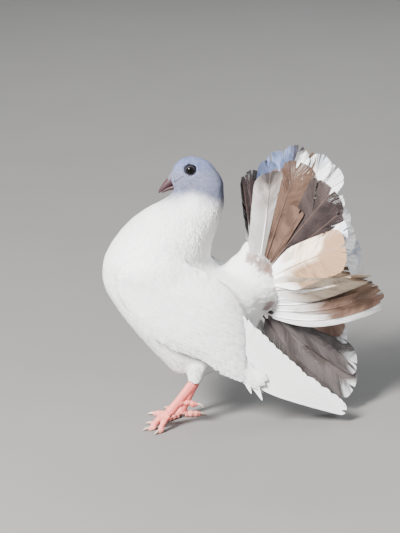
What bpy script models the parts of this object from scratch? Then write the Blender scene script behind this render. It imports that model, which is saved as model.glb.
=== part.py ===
"""A fantail pigeon, life size, walking, with its head drawn back over a full crop and its tail fanned.

The bird faces -X, its left side is towards -Y, and +Z is up. The origin is on the floor, under the middle
of its box. Sizes are in millimetres here and are turned into metres where a mesh is made.
Flesh is one blended body, parted by thin cuts into head, neck, trunk and tail base.
"""

import math

import bmesh
import bpy
from mathutils import Vector

MM = 0.001

# Driving sizes of the whole bird
GAP = 0.36  # the thin cut between neighbours
BODY_CELL = 2.6  # cell of the mesh that blends the body's masses into one
BODY_SMOOTHING = 5
BODY_KEEP = 0.053  # share of the blended body's faces that is kept
RING_SIDES = 28

# Horizontal slices of crop, breast and belly: height, front, back, half width
BODY_SLICES = (
    (243.0, -66.0, -20.0, 15.0),
    (236.0, -70.5, -19.0, 17.5),
    (229.0, -78.0, -18.5, 22.0),
    (222.0, -92.0, -19.0, 28.0),
    (215.0, -102.5, -20.5, 33.0),
    (207.0, -113.0, -23.5, 38.0),
    (197.0, -122.5, -27.5, 43.0),
    (185.0, -131.0, -31.0, 47.0),
    (171.0, -138.5, -33.0, 49.5),
    (160.0, -140.5, -26.0, 50.5),
    (153.0, -141.0, 8.0, 51.0),
    (146.0, -140.5, 24.0, 51.5),
    (136.0, -137.5, 30.0, 51.5),
    (125.0, -131.0, 26.0, 51.0),
    (115.0, -124.5, 22.0, 50.5),
    (104.0, -116.5, 17.0, 49.0),
    (94.0, -108.5, 12.0, 46.5),
    (84.0, -100.0, 5.0, 42.5),
    (73.0, -90.5, -4.0, 36.5),
    (62.0, -80.0, -14.0, 29.0),
    (51.0, -70.0, -26.0, 19.0),
)
# Rounded masses of head and rump: centre, half sizes
BODY_MASSES = (
    ((-51.5, 0.0, 252.8), (20.8, 17.6, 20.4)),  # cranium
    ((-45.5, 0.0, 250.8), (19.8, 17.2, 20.8)),  # back of the head
    ((-40.5, 0.0, 242.5), (21.5, 18.0, 21.0)),  # nape
    ((-54.5, 0.0, 242.5), (13.5, 13.5, 12.5)),  # cheeks and chin
    ((-65.5, 0.0, 251.0), (8.6, 8.0, 8.2)),  # lores
    ((8.0, 0.0, 142.0), (32.0, 27.0, 34.0)),  # rump and tail coverts
    ((9.0, 0.0, 161.0), (14.5, 21.0, 27.0)),  # upper tail coverts, drawn up against the fan
)
# Cutting planes: a point and the way the plane faces. Three of them meet in the hollow between neck and tail
HOLLOW = (-26.0, 0.0, 160.0)
HEAD_CUT = ((-45.0, 0.0, 231.0), (-0.14, 0.0, 1.0))
NECK_CUT = (HOLLOW, (0.238, 0.0, 1.0))
NECK_FROM_TAIL_CUT = (HOLLOW, (1.0, 0.0, -0.14))
TRUNK_FROM_TAIL_CUT = (HOLLOW, (1.0, 0.0, 0.28))

# Eye and bill
EYE_CENTRE = (-52.6, 11.5, 262.0)
EYE_RADIUS = 6.0
UPPER_BILL = (  # along the bill: x, z, half height, half width
    (-66.0, 249.5, 5.2, 4.4),
    (-70.5, 248.3, 4.6, 4.0),
    (-75.0, 245.2, 3.6, 3.1),
    (-79.0, 241.6, 2.5, 2.2),
    (-82.2, 238.2, 1.5, 1.2),
    (-83.8, 235.9, 0.6, 0.5),
)
LOWER_BILL = (
    (-62.0, 242.8, 2.6, 4.0),
    (-68.0, 241.9, 2.1, 3.2),
    (-73.5, 240.4, 1.7, 2.4),
    (-78.0, 238.2, 1.2, 1.5),
    (-80.9, 236.2, 0.6, 0.6),
)
CERE_CENTRE = (-71.6, 2.5, 252.0)
CERE_HALF = (4.0, 2.25, 2.4)
CERE_PITCH = 42.0  # degrees that the cere slopes down with the bill

# Folded wing, drooped: outlines seen from the side, front end first (x, z)
SHIELD_LOWER = (
    (-127, 153), (-125, 138), (-116, 125), (-101, 106), (-85, 93), (-63, 82), (-43, 75.5), (-21, 58), (4, 47),
)
SHIELD_UPPER = (
    (-127, 153), (-122, 168.5), (-108, 180), (-88, 184), (-63, 179), (-38, 168), (-17, 153), (-5, 136), (4, 118),
)
SECONDARY_LOWER = ((4.4, 68), (37, 59), (57, 52.6), (69, 48.8))
SECONDARY_UPPER = ((4.4, 117.6), (16, 101.5), (37, 81.5), (57, 62.5), (69, 50))
PRIMARY_LOWER = ((4.4, 47), (19, 40.2), (47, 27.5), (77, 17), (97, 10.5), (106, 11.5))
PRIMARY_UPPER = ((4.4, 67.6), (37, 58.6), (57, 52.2), (71, 47.5), (78, 38), (92, 29.5), (101, 23.5), (106, 16))
SHIELD_THICK = 6.5
FLIGHT_THICK = 3.0
WING_REST_DEPTH = 37.0  # how far from the midline the folded flight feathers start
WING_TIP_DEPTH = 14.0
WING_REAR_X = (6.0, 106.0)
WING_SHOULDER = (-100.0, 150.0)
RIGHT_WING_DROOP = 2.5  # degrees that the right wing hangs lower, turned about its shoulder

# Tail fan, from the lowest feather on the left, over the top, to the lowest on the right:
# lift above level, swing to the left, length, drop of the root, sag on the way
FAN_STATIONS = (
    (4, 8, 125, 31, 13),
    (12, 14, 129, 26, 9),
    (18, 30, 131, 15, 4),
    (21, 41, 132, 6, 1),
    (34, 40, 133, 0, 0),
    (45, 28, 134, 0, 0),
    (62, 18, 135, 0, 0),
    (76, 13, 137, 0, 0),
    (91, 19, 130, 0, 0),
    (100, -3, 108, 0, 0),
    (84, -20, 125, 0, 0),
    (71, -25, 147, 0, 0),
    (58, -27, 150, 0, 0),
    (44, -30, 136, 0, 0),
    (21, -36, 128, 0, 0),
    (0, -38, 138, 1, 0),
    (-21, -37, 138, 4, 0),
    (-37, -28, 129, 9, 0),
    (-47, -13, 148, 16, 0),
    (-60, -2, 106, 34, 0),
)
FAN_FEATHERS = 28
FEATHERS_A_SECTOR = 4
FAN_ROOT = (15.0, 0.0, 144.0)
FAN_SHEET = 1.0
FAN_TURN_STEP = 0.045  # how far to either side the way of the fan is felt
FEATHER_ROWS = (0.13, 0.32, 0.5, 0.68, 0.84, 0.94, 1.0)  # along a feather, root to tip
TIP_NARROWING = {0.94: 0.82, 1.0: 0.36}  # how much of its width is left near the tip
FEATHER_BOW = 0.03  # how far a feather bows backwards, as a share of its length

# Legs: the left foot is on its toes and the right foot is flat under the bird
HOCKS = {"left": (-49.0, -25.0, 46.0), "right": (-46.0, 12.0, 40.0)}
THIGH_TOPS = {"left": (-40.0, -23.0, 84.0), "right": (-38.0, 14.0, 80.0)}
THIGH_RADII = (6.6, 9.6, 13.0, 16.0)
SHANK_FEET = {"left": (-73.0, -30.0, 16.5), "right": (-63.0, 7.0, 4.0)}
SHANK_RADII = (5.6, 5.0, 4.6, 4.6, 5.2)
TOE_RADIUS = 3.0
CLAW_LENGTH = 7.5
KNUCKLE_LIFT = 1.6  # how far the knuckles of a raised foot stand up
TOE_SIDES = 10
TOE_STEPS = 6
# For each toe: where it leaves the foot, where its pad ends, and whether it reaches the floor
TOES = {
    "left": {
        "hind": ((-62.5, -28.0, 25.0), (-45.5, -27.0, 24.0)),
        "inner": ((-75.5, -27.0, 13.5), (-92.5, -20.0, 2.1)),
        "middle": ((-77.0, -30.5, 13.0), (-95.0, -38.0, 2.1)),
        "outer": ((-75.0, -34.5, 13.0), (-85.0, -48.5, 2.1)),
    },
    "right": {
        "hind": ((-58.0, 7.5, 2.9), (-42.0, 9.5, 2.1)),
        "inner": ((-66.0, 3.0, 2.9), (-77.5, -10.0, 2.1)),
        "middle": ((-68.0, 7.0, 2.9), (-91.0, 11.5, 2.1)),
        "outer": ((-65.5, 11.0, 2.9), (-77.0, 29.5, 2.1)),
    },
}

# Colour, roughness
FINISHES = {
    "white_feather": ((0.90, 0.90, 0.89), 0.8),
    "tan_feather": ((0.52, 0.36, 0.27), 0.8),
    "eye": ((0.01, 0.01, 0.012), 0.08),
    "bill": ((0.42, 0.27, 0.26), 0.45),
    "cere": ((0.62, 0.56, 0.58), 0.7),
    "leg_skin": ((0.75, 0.30, 0.27), 0.5),
    "claw": ((0.62, 0.55, 0.48), 0.4),
}


def clear_scene():
    for obj in list(bpy.data.objects):
        bpy.data.objects.remove(obj)


def finish(name):
    made = bpy.data.materials.get(name)
    if made is None:
        colour, roughness = FINISHES[name]
        made = bpy.data.materials.new(name)
        made.use_nodes = True
        shader = made.node_tree.nodes["Principled BSDF"]
        shader.inputs["Base Color"].default_value = (*colour, 1.0)
        shader.inputs["Roughness"].default_value = roughness
    return made


def add_object(name, mesh_maker, material=None):
    """An object from a bmesh whose points are in millimetres."""
    bmesh.ops.recalc_face_normals(mesh_maker, faces=mesh_maker.faces)
    if mesh_maker.calc_volume(signed=True) < 0:
        bmesh.ops.reverse_faces(mesh_maker, faces=mesh_maker.faces)
    bmesh.ops.scale(mesh_maker, vec=(MM, MM, MM), verts=mesh_maker.verts)
    mesh = bpy.data.meshes.new(name)
    mesh_maker.to_mesh(mesh)
    mesh_maker.free()
    mesh.shade_smooth()
    obj = bpy.data.objects.new(name, mesh)
    bpy.context.scene.collection.objects.link(obj)
    if material:
        mesh.materials.append(finish(material))
    return obj


def as_helper(obj):
    obj.hide_render = True
    obj.display_type = "WIRE"
    return obj


def skin_rings(mesh_maker, rings):
    """Joins closed rings of points into a tube with flat ends."""
    made = [[mesh_maker.verts.new(point) for point in ring] for ring in rings]
    for low, high in zip(made, made[1:]):
        for i in range(len(low)):
            j = (i + 1) % len(low)
            mesh_maker.faces.new((low[i], low[j], high[j], high[i]))
    mesh_maker.faces.new(made[0][::-1])
    mesh_maker.faces.new(made[-1])


def smooth_curve(points, share):
    """A point on the Catmull-Rom curve through points, share going from 0 to 1."""
    spans = len(points) - 1
    at = min(max(share, 0.0), 1.0) * spans
    i = min(int(at), spans - 1)
    t = at - i
    p = [Vector(points[min(max(k, 0), spans)]) for k in (i - 1, i, i + 1, i + 2)]
    return 0.5 * (
        2 * p[1]
        + (p[2] - p[0]) * t
        + (2 * p[0] - 5 * p[1] + 4 * p[2] - p[3]) * t * t
        + (3 * p[1] - p[0] - 3 * p[2] + p[3]) * t**3
    )


def tube(mesh_maker, centres, radii, sides, floor=None):
    """A round tube along centres. Points under the floor are pressed up to it, as small flats."""
    rings = []
    for i, centre in enumerate(centres):
        before = centres[max(i - 1, 0)]
        after = centres[min(i + 1, len(centres) - 1)]
        along = (Vector(after) - Vector(before)).normalized()
        across = along.cross(Vector((0, 0, 1)))
        if across.length < 0.1:
            across = Vector((0, 1, 0))
        across.normalize()
        up = across.cross(along)
        ring = []
        for k in range(sides):
            turn = 2 * math.pi * k / sides
            point = Vector(centre) + radii[i] * (math.cos(turn) * across + math.sin(turn) * up)
            if floor is not None:
                point.z = max(point.z, floor)
            ring.append(point)
        rings.append(ring)
    skin_rings(mesh_maker, rings)


def ellipsoid(mesh_maker, centre, half_sizes, rings=12, sides=20):
    made = bmesh.ops.create_uvsphere(mesh_maker, u_segments=sides, v_segments=rings, radius=1.0)
    for vert in made["verts"]:
        vert.co = Vector(centre) + Vector(c * h for c, h in zip(vert.co, half_sizes))
    return made["verts"]


def subtract(obj, cutter):
    cut = obj.modifiers.new("cut by " + cutter.name, "BOOLEAN")
    cut.operation = "DIFFERENCE"
    cut.object = cutter


def blended_body():
    """All the flesh as one closed mesh, in metres: slices and rounded masses, remeshed, eased and thinned."""
    maker = bmesh.new()
    rings = []
    for height, front, back, half_width in BODY_SLICES:
        middle, half_length = (front + back) / 2, (back - front) / 2
        ring = []
        for k in range(RING_SIDES):
            turn = 2 * math.pi * k / RING_SIDES
            ring.append((middle + half_length * math.cos(turn), half_width * math.sin(turn), height))
        rings.append(ring)
    skin_rings(maker, rings)
    for centre, half_sizes in BODY_MASSES:
        ellipsoid(maker, centre, half_sizes, 16, 28)
    source = add_object("body_source", maker)
    remesh = source.modifiers.new("blend", "REMESH")
    remesh.mode = "VOXEL"
    remesh.voxel_size = BODY_CELL * MM
    ease = source.modifiers.new("ease", "SMOOTH")
    ease.iterations = BODY_SMOOTHING
    thin = source.modifiers.new("thin", "DECIMATE")
    thin.ratio = BODY_KEEP
    bpy.context.view_layer.update()
    graph = bpy.context.evaluated_depsgraph_get()
    mesh = bpy.data.meshes.new_from_object(source.evaluated_get(graph))
    bpy.data.objects.remove(source)
    return mesh


def body_piece(name, whole, cuts, material="white_feather"):
    """The part of the body on the kept side of each (plane, sign) cut, closed with flat faces."""
    maker = bmesh.new()
    maker.from_mesh(whole)
    bmesh.ops.scale(maker, vec=(1 / MM, 1 / MM, 1 / MM), verts=maker.verts)
    for (point, normal), side in cuts:
        out = -side * Vector(normal).normalized()
        start = Vector(point) - out * GAP / 2
        geometry = maker.verts[:] + maker.edges[:] + maker.faces[:]
        bmesh.ops.bisect_plane(maker, geom=geometry, plane_co=start, plane_no=out, clear_outer=True)
        rim = [edge for edge in maker.edges if edge.is_boundary]
        bmesh.ops.edgeloop_fill(maker, edges=rim)
    return add_object(name, maker, material)


def clearance_of(whole):
    """The body swelled by the gap: what lies against the body is cut by it."""
    obj = bpy.data.objects.new("body_clearance", whole.copy())
    bpy.context.scene.collection.objects.link(obj)
    swell = obj.modifiers.new("swell", "DISPLACE")
    swell.strength = GAP * MM
    swell.mid_level = 0.0
    return as_helper(obj)


def make_eyes(head):
    for side, sign in (("left", -1), ("right", 1)):
        x, y, z = EYE_CENTRE
        for name, radius in (("eye_" + side, EYE_RADIUS), ("eye_socket_" + side, EYE_RADIUS + GAP)):
            maker = bmesh.new()
            ellipsoid(maker, (x, sign * y, z), (radius, radius, radius), 9, 14)
            obj = add_object(name, maker, "eye")
            if radius > EYE_RADIUS:
                subtract(head, as_helper(obj))


def bill_rings(stations, swell=0.0):
    rings = []
    for i, (x, z, half_height, half_width) in enumerate(stations):
        before, after = stations[max(i - 1, 0)], stations[min(i + 1, len(stations) - 1)]
        along = Vector((after[0] - before[0], 0, after[1] - before[1])).normalized()
        up = Vector((-along.z, 0, along.x))
        if up.z < 0:
            up = -up
        ring = []
        for k in range(14):
            turn = 2 * math.pi * k / 14
            rise = math.sin(turn) * (half_height + swell)
            ring.append(Vector((x, math.cos(turn) * (half_width + swell), z)) + up * rise)
        rings.append(ring)
    return rings


def make_bill(clearance):
    upper_maker, swelled, lower_maker = bmesh.new(), bmesh.new(), bmesh.new()
    skin_rings(upper_maker, bill_rings(UPPER_BILL))
    upper = add_object("bill_upper", upper_maker, "bill")
    skin_rings(swelled, bill_rings(UPPER_BILL, GAP))
    upper_room = as_helper(add_object("bill_upper_room", swelled))
    skin_rings(lower_maker, bill_rings(LOWER_BILL))
    lower = add_object("bill_lower", lower_maker, "bill")
    for obj in (upper, lower):
        subtract(obj, clearance)
    subtract(lower, upper_room)
    for side, sign in (("left", -1), ("right", 1)):
        maker = bmesh.new()
        verts = ellipsoid(maker, (0, 0, 0), CERE_HALF, 10, 14)
        turn = math.radians(CERE_PITCH)
        for vert in verts:
            x, z = vert.co.x, vert.co.z
            vert.co.x = CERE_CENTRE[0] + x * math.cos(turn) - z * math.sin(turn)
            vert.co.z = CERE_CENTRE[2] + x * math.sin(turn) + z * math.cos(turn)
            vert.co.y += sign * CERE_CENTRE[1]
        cere = add_object("cere_" + side, maker, "cere")
        subtract(cere, clearance)
        subtract(cere, upper_room)


def body_half_width(x, z):
    """The trunk's half width at a place seen from the side, from the slices."""
    rows = BODY_SLICES
    z = min(max(z, rows[-1][0]), rows[0][0])
    for high, low in zip(rows, rows[1:]):
        if low[0] <= z <= high[0]:
            mix = (high[0] - z) / (high[0] - low[0])
            front, back, half = (high[i] + (low[i] - high[i]) * mix for i in (1, 2, 3))
            place = (x - (front + back) / 2) / ((back - front) / 2)
            return half * math.sqrt(max(0.0, 1 - place * place))
    return 0.0


def wing_depth(x, z):
    """How far from the midline a folded wing lies: on the body in front, closing to the tips behind."""
    start, end = WING_REAR_X
    share = min(max((x - start) / (end - start), -0.25), 1.0)
    rear = WING_REST_DEPTH + (WING_TIP_DEPTH - WING_REST_DEPTH) * share
    front_fade = min(max((-100.0 - x) / 30.0, 0.0), 1.0)
    rear -= 14.0 * front_fade
    ease = 8.0
    body = body_half_width(x, z)
    return 0.5 * (body + rear + math.sqrt((body - rear) ** 2 + ease**2))


def wing_panel(name, side, lower, upper, thick, steps, across, edge=1.1):
    """A feathered panel between a lower and an upper outline, lying along the body and rounded at its edges."""
    sign = -1 if side == "left" else 1
    droop = math.radians(RIGHT_WING_DROOP if side == "right" else 0.0)
    maker = bmesh.new()
    outer, inner = [], []
    for i in range(steps + 1):
        s = i / steps
        low, high = smooth_curve(lower, s), smooth_curve(upper, s)
        if (high - low).length < 3.0:
            centre = (low + high) / 2
            low, high = centre + Vector((0, -1.5)), centre + Vector((0, 1.5))
        row_out, row_in = [], []
        for k in range(across + 1):
            t = k / across
            from_shoulder = low.lerp(high, t) - Vector(WING_SHOULDER)
            x = WING_SHOULDER[0] + from_shoulder.x * math.cos(droop) + from_shoulder.y * math.sin(droop)
            z = WING_SHOULDER[1] - from_shoulder.x * math.sin(droop) + from_shoulder.y * math.cos(droop)
            depth = wing_depth(x, z)
            crown = math.sqrt(max(0.0, 1 - (2 * t - 1) ** 4))
            ends = min(1.0, 0.35 + 6.0 * s, 0.5 + 6.0 * (1 - s))
            swell = edge + (thick - edge) * crown * ends
            row_out.append(maker.verts.new((x, sign * (depth + swell), z)))
            row_in.append(maker.verts.new((x, sign * (depth - edge), z)))
        outer.append(row_out)
        inner.append(row_in)
    for i in range(steps):
        for k in range(across):
            maker.faces.new((outer[i][k], outer[i + 1][k], outer[i + 1][k + 1], outer[i][k + 1]))
            maker.faces.new((inner[i][k], inner[i][k + 1], inner[i + 1][k + 1], inner[i + 1][k]))
        for k in (0, across):
            maker.faces.new((outer[i][k], inner[i][k], inner[i + 1][k], outer[i + 1][k]))
    for i in (0, steps):
        for k in range(across):
            maker.faces.new((outer[i][k], outer[i][k + 1], inner[i][k + 1], inner[i][k]))
    return add_object(name, maker, "white_feather")


def make_wings(clearance):
    for side in ("left", "right"):
        shield = wing_panel("wing_" + side, side, SHIELD_LOWER, SHIELD_UPPER, SHIELD_THICK, 13, 6)
        second = wing_panel(
            "secondaries_" + side, side, SECONDARY_LOWER, SECONDARY_UPPER, FLIGHT_THICK, 7, 3
        )
        first = wing_panel("primaries_" + side, side, PRIMARY_LOWER, PRIMARY_UPPER, FLIGHT_THICK, 9, 3)
        for obj in (shield, second, first):
            subtract(obj, clearance)


def fan_row(row):
    """Way, length, root's drop and sag from one row of the fan's stations."""
    lift, swing, length, drop, sag = row
    lift, swing = math.radians(lift), math.radians(swing)
    level = math.cos(swing)
    way = Vector((level * math.cos(lift), -math.sin(swing), level * math.sin(lift)))
    return way, length, drop, sag


def fan_distances():
    """How far the tips' line has come at each station, as a share of the whole line."""
    tips = []
    for row in FAN_STATIONS:
        way, length, drop, _ = fan_row(row)
        tips.append(way * length - Vector((0, 0, drop)))
    walked = [0.0]
    for before, after in zip(tips, tips[1:]):
        walked.append(walked[-1] + (after - before).length)
    return [distance / walked[-1] for distance in walked]


def fan_station(share):
    """A tail feather at a share of the way round the fan: its way, length, root's drop and sag."""
    walked = fan_distances()
    share = min(max(share, 0.0), 1.0)
    place = 0.0
    for i, (low, high) in enumerate(zip(walked, walked[1:])):
        if low <= share <= high:
            place = i + (share - low) / (high - low)
    blend = place / (len(walked) - 1)
    ways = smooth_curve([row[:3] for row in FAN_STATIONS], blend)
    drops = smooth_curve([(*row[3:], 0.0) for row in FAN_STATIONS], blend)
    return fan_row((*ways, drops.x, drops.y))


def fan_point(share, along):
    """A point of the fan: share round it, and along from the root to the tips."""
    way, length, drop, sag = fan_station(share)
    ahead, behind = fan_station(share + FAN_TURN_STEP)[0], fan_station(share - FAN_TURN_STEP)[0]
    back = (ahead - behind).cross(way).normalized()
    down = Vector((0, 0, -1)) * (drop + sag * 4 * along * (1 - along))
    return Vector(FAN_ROOT) + way * (length * along) + back * (length * FEATHER_BOW * along * along) + down


def thicken(maker, thickness):
    """Turns an open sheet into a closed slab, half its thickness to either side."""
    bmesh.ops.recalc_face_normals(maker, faces=maker.faces)
    maker.normal_update()
    front, back = {}, {}
    for vert in maker.verts[:]:
        front[vert] = maker.verts.new(vert.co + vert.normal * thickness / 2)
        back[vert] = maker.verts.new(vert.co - vert.normal * thickness / 2)
    sheet, rim = maker.faces[:], [edge for edge in maker.edges if edge.is_boundary]
    for edge in rim:
        a, b = edge.verts
        maker.faces.new((front[a], front[b], back[b], back[a]))
    for face in sheet:
        maker.faces.new([front[vert] for vert in face.verts])
        maker.faces.new([back[vert] for vert in reversed(face.verts[:])])
    bmesh.ops.delete(maker, geom=list(front), context="VERTS")


def fan_sector(name, first, count, material):
    """A few neighbouring tail feathers as one thin sheet whose outer edge is scalloped by their tips."""
    maker = bmesh.new()
    shared = {}

    def boundary(index, along):
        key = (index, along)
        if key not in shared:
            point = fan_point(index / FAN_FEATHERS, along)
            inward = 0
            if index == first:
                inward = 1
            elif index == first + count:
                inward = -1
            if inward:
                beside = fan_point((index + 0.3 * inward) / FAN_FEATHERS, along)
                point = point + (beside - point).normalized() * GAP * 0.6
            shared[key] = maker.verts.new(point)
        return shared[key]

    for index in range(first, first + count):
        rows = []
        for along in FEATHER_ROWS:
            shaft = maker.verts.new(fan_point((index + 0.5) / FAN_FEATHERS, along))
            if along in TIP_NARROWING:
                keep = 0.5 * TIP_NARROWING[along]
                left = maker.verts.new(fan_point((index + 0.5 - keep) / FAN_FEATHERS, along))
                right = maker.verts.new(fan_point((index + 0.5 + keep) / FAN_FEATHERS, along))
            else:
                left, right = boundary(index, along), boundary(index + 1, along)
            rows.append((left, shaft, right))
        for low, high in zip(rows, rows[1:]):
            for k in (0, 1):
                maker.faces.new((low[k], low[k + 1], high[k + 1], high[k]))
    thicken(maker, FAN_SHEET)
    return add_object(name, maker, material)


def make_fan(clearance):
    names = (
        "tail_left_low", "tail_left_mid", "tail_left_high", "tail_top",
        "tail_right_high", "tail_right_mid", "tail_right_low",
    )
    tan = ("tail_left_low", "tail_left_high", "tail_top")
    for i, name in enumerate(names):
        material = "tan_feather" if name in tan else "white_feather"
        sector = fan_sector(name, i * FEATHERS_A_SECTOR, FEATHERS_A_SECTOR, material)
        subtract(sector, clearance)


def swelled_tube(name, centres, radii, sides):
    maker = bmesh.new()
    tube(maker, centres, [r + GAP for r in radii], sides)
    return as_helper(add_object(name, maker))


def between(start, end, steps):
    return [Vector(start).lerp(Vector(end), i / (steps - 1)) for i in range(steps)]


def make_leg(side, clearance):
    hock, top, foot = HOCKS[side], THIGH_TOPS[side], SHANK_FEET[side]
    shank_line = between(hock, foot, len(SHANK_RADII))
    shank_room = swelled_tube("shank_room_" + side, shank_line, SHANK_RADII, TOE_SIDES)
    maker = bmesh.new()
    tube(maker, between(hock, top, len(THIGH_RADII)), THIGH_RADII, 16)
    thigh = add_object("thigh_" + side, maker, "white_feather")
    subtract(thigh, clearance)
    maker = bmesh.new()
    way = (Vector(foot) - Vector(hock)).normalized()
    started = [point for point in shank_line]
    started[0] = started[0] + way * GAP
    tube(maker, started, SHANK_RADII, TOE_SIDES, 0.0)
    shank = add_object("shank_" + side, maker, "leg_skin")
    thigh_line = between(hock, top, len(THIGH_RADII))
    subtract(shank, swelled_tube("thigh_room_" + side, thigh_line, THIGH_RADII, 16))
    rooms = [shank_room]
    for toe, (root, pad) in TOES[side].items():
        root, pad = Vector(root), Vector(pad)
        knuckle = root.lerp(pad, 0.4) + Vector((0, 0, KNUCKLE_LIFT if root.z > 10 else 0.2))
        pad_start = root.lerp(pad, 0.74)
        pad_start.z = pad.z + 0.1
        bends = [root, knuckle, pad_start, pad]
        line = [smooth_curve(bends, s / TOE_STEPS) for s in range(TOE_STEPS + 1)]
        radii = [TOE_RADIUS * (1.06 - 0.03 * s + 0.07 * math.cos(math.pi * s)) for s in range(TOE_STEPS + 1)]
        radii[-1] = radii[-2] * 0.75
        maker = bmesh.new()
        tube(maker, line, radii, TOE_SIDES, 0.0)
        obj = add_object(f"toe_{side}_{toe}", maker, "leg_skin")
        for room in rooms:
            subtract(obj, room)
        rooms.append(swelled_tube(f"toe_room_{side}_{toe}", line, radii, TOE_SIDES))
        make_claw(f"claw_{side}_{toe}", line, rooms[-1])


def make_claw(name, toe_line, toe_room):
    """A curved claw that leaves the toe's end and bends down to just over the floor."""
    end = toe_line[-1]
    way = end - toe_line[-3]
    way.z = 0.0
    way.normalize()
    start = end - way * 1.2 + Vector((0, 0, 0.5))
    lowest = max(0.35, end.z - 3.4)
    points = []
    for i in range(5):
        s = i / 4
        ahead = start + way * (CLAW_LENGTH * math.sin(1.25 * s))
        ahead.z = start.z + 0.5 * s - (start.z + 0.5 - lowest) * s * s
        points.append(ahead)
    radii = [1.55, 1.4, 1.1, 0.7, 0.28]
    maker = bmesh.new()
    tube(maker, points, radii, 6, 0.0)
    subtract(add_object(name, maker, "claw"), toe_room)


def make_bird():
    clear_scene()
    whole = blended_body()
    clearance = clearance_of(whole)
    head = body_piece("head", whole, [(HEAD_CUT, 1)])
    body_piece("neck", whole, [(HEAD_CUT, -1), (NECK_CUT, 1), (NECK_FROM_TAIL_CUT, -1)])
    body_piece("trunk", whole, [(NECK_CUT, -1), (TRUNK_FROM_TAIL_CUT, -1)])
    body_piece("tail_base", whole, [(NECK_FROM_TAIL_CUT, 1), (TRUNK_FROM_TAIL_CUT, 1)])
    make_eyes(head)
    make_bill(clearance)
    make_wings(clearance)
    make_fan(clearance)
    for side in ("left", "right"):
        make_leg(side, clearance)


make_bird()
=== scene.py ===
# %% [markdown]
# # A white fantail pigeon, life size
# The bird stands on both feet with its crop pushed forward, its wings held low and its fan of tail
# feathers raised. The frame gives the solids at their real size. Here they get one seamless skin, a
# coat of small feathers, long wing and tail feathers, scaled feet, a bill and eyes.

import math

import bmesh
import bpy
import numpy as np
from mathutils import Matrix, Vector
from mathutils.bvhtree import BVHTree
from mathutils.kdtree import KDTree


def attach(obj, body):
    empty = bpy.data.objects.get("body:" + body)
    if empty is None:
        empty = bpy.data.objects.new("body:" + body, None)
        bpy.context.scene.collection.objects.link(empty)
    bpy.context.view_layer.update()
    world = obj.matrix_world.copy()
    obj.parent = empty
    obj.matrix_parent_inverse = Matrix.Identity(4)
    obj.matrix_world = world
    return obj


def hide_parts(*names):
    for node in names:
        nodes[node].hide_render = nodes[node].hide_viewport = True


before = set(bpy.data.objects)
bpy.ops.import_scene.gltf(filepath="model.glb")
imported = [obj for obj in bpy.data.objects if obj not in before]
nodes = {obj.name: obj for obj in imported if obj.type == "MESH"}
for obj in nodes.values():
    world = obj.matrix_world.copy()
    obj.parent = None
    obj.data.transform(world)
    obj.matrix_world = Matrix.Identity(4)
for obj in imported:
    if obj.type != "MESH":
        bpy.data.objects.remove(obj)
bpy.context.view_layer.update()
MM = 0.001
SIDES = (("left", -1), ("right", 1))

# %% [markdown]
# ## Camera, floor and light
# The photo looks at the bird's left side from a little above, so the camera stands far off with a
# long lens, 15 degrees up. A wide pale floor fills the view. A large soft lamp from the upper left
# models the crop and the fan, and two weak ones keep the shaded side readable.

# %% Camera
CAMERA_TARGET = Vector((-0.043, 0.0, 0.160))
CAMERA_DISTANCE = 2.961
CAMERA_RISE = math.radians(15)


def added(name, data):
    """A new object in the scene."""
    obj = bpy.data.objects.new(name, data)
    bpy.context.scene.collection.objects.link(obj)
    return obj


def aimed(obj, place):
    """Puts obj at place and turns it to the bird."""
    obj.location = place
    obj.rotation_euler = (CAMERA_TARGET - Vector(place)).to_track_quat("-Z", "Y").to_euler()
    return obj


lens = bpy.data.cameras.new("camera")
lens.lens = 200
lens.sensor_fit = "VERTICAL"
lens.sensor_height = 36
way_out = Vector((0, -math.cos(CAMERA_RISE), math.sin(CAMERA_RISE)))
camera = aimed(added("camera", lens), CAMERA_TARGET + way_out * CAMERA_DISTANCE)
bpy.context.scene.camera = camera
print("camera at", [round(v, 3) for v in camera.location])

# %% Lamps and world


def soft_lamp(name, place, size, power, colour=(1, 1, 1)):
    """A square lamp aimed at the bird."""
    lamp = bpy.data.lights.new(name, "AREA")
    lamp.size = size
    lamp.energy = power
    lamp.color = colour
    aimed(added(name, lamp), place)


soft_lamp("lamp_key", (-1.4, -1.95, 1.75), 0.75, 530, (1.0, 0.985, 0.96))
soft_lamp("lamp_fill", (1.9, -1.3, 0.9), 1.6, 16, (0.93, 0.96, 1.0))
soft_lamp("lamp_back", (0.4, 2.0, 1.7), 1.4, 40)
world = bpy.data.worlds.new("studio")
bpy.context.scene.world = world
world.use_nodes = True
sky = world.node_tree.nodes["Background"].inputs
sky["Color"].default_value = (0.72, 0.76, 0.82, 1)
sky["Strength"].default_value = 0.55

# %% [markdown]
# ## A small kit for materials
# A procedural material is a graph of nodes. Written as Python it stays short if a value can be added
# and multiplied like a number, so one class wraps a socket and each operator adds a Math node.

# %% Values


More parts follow.
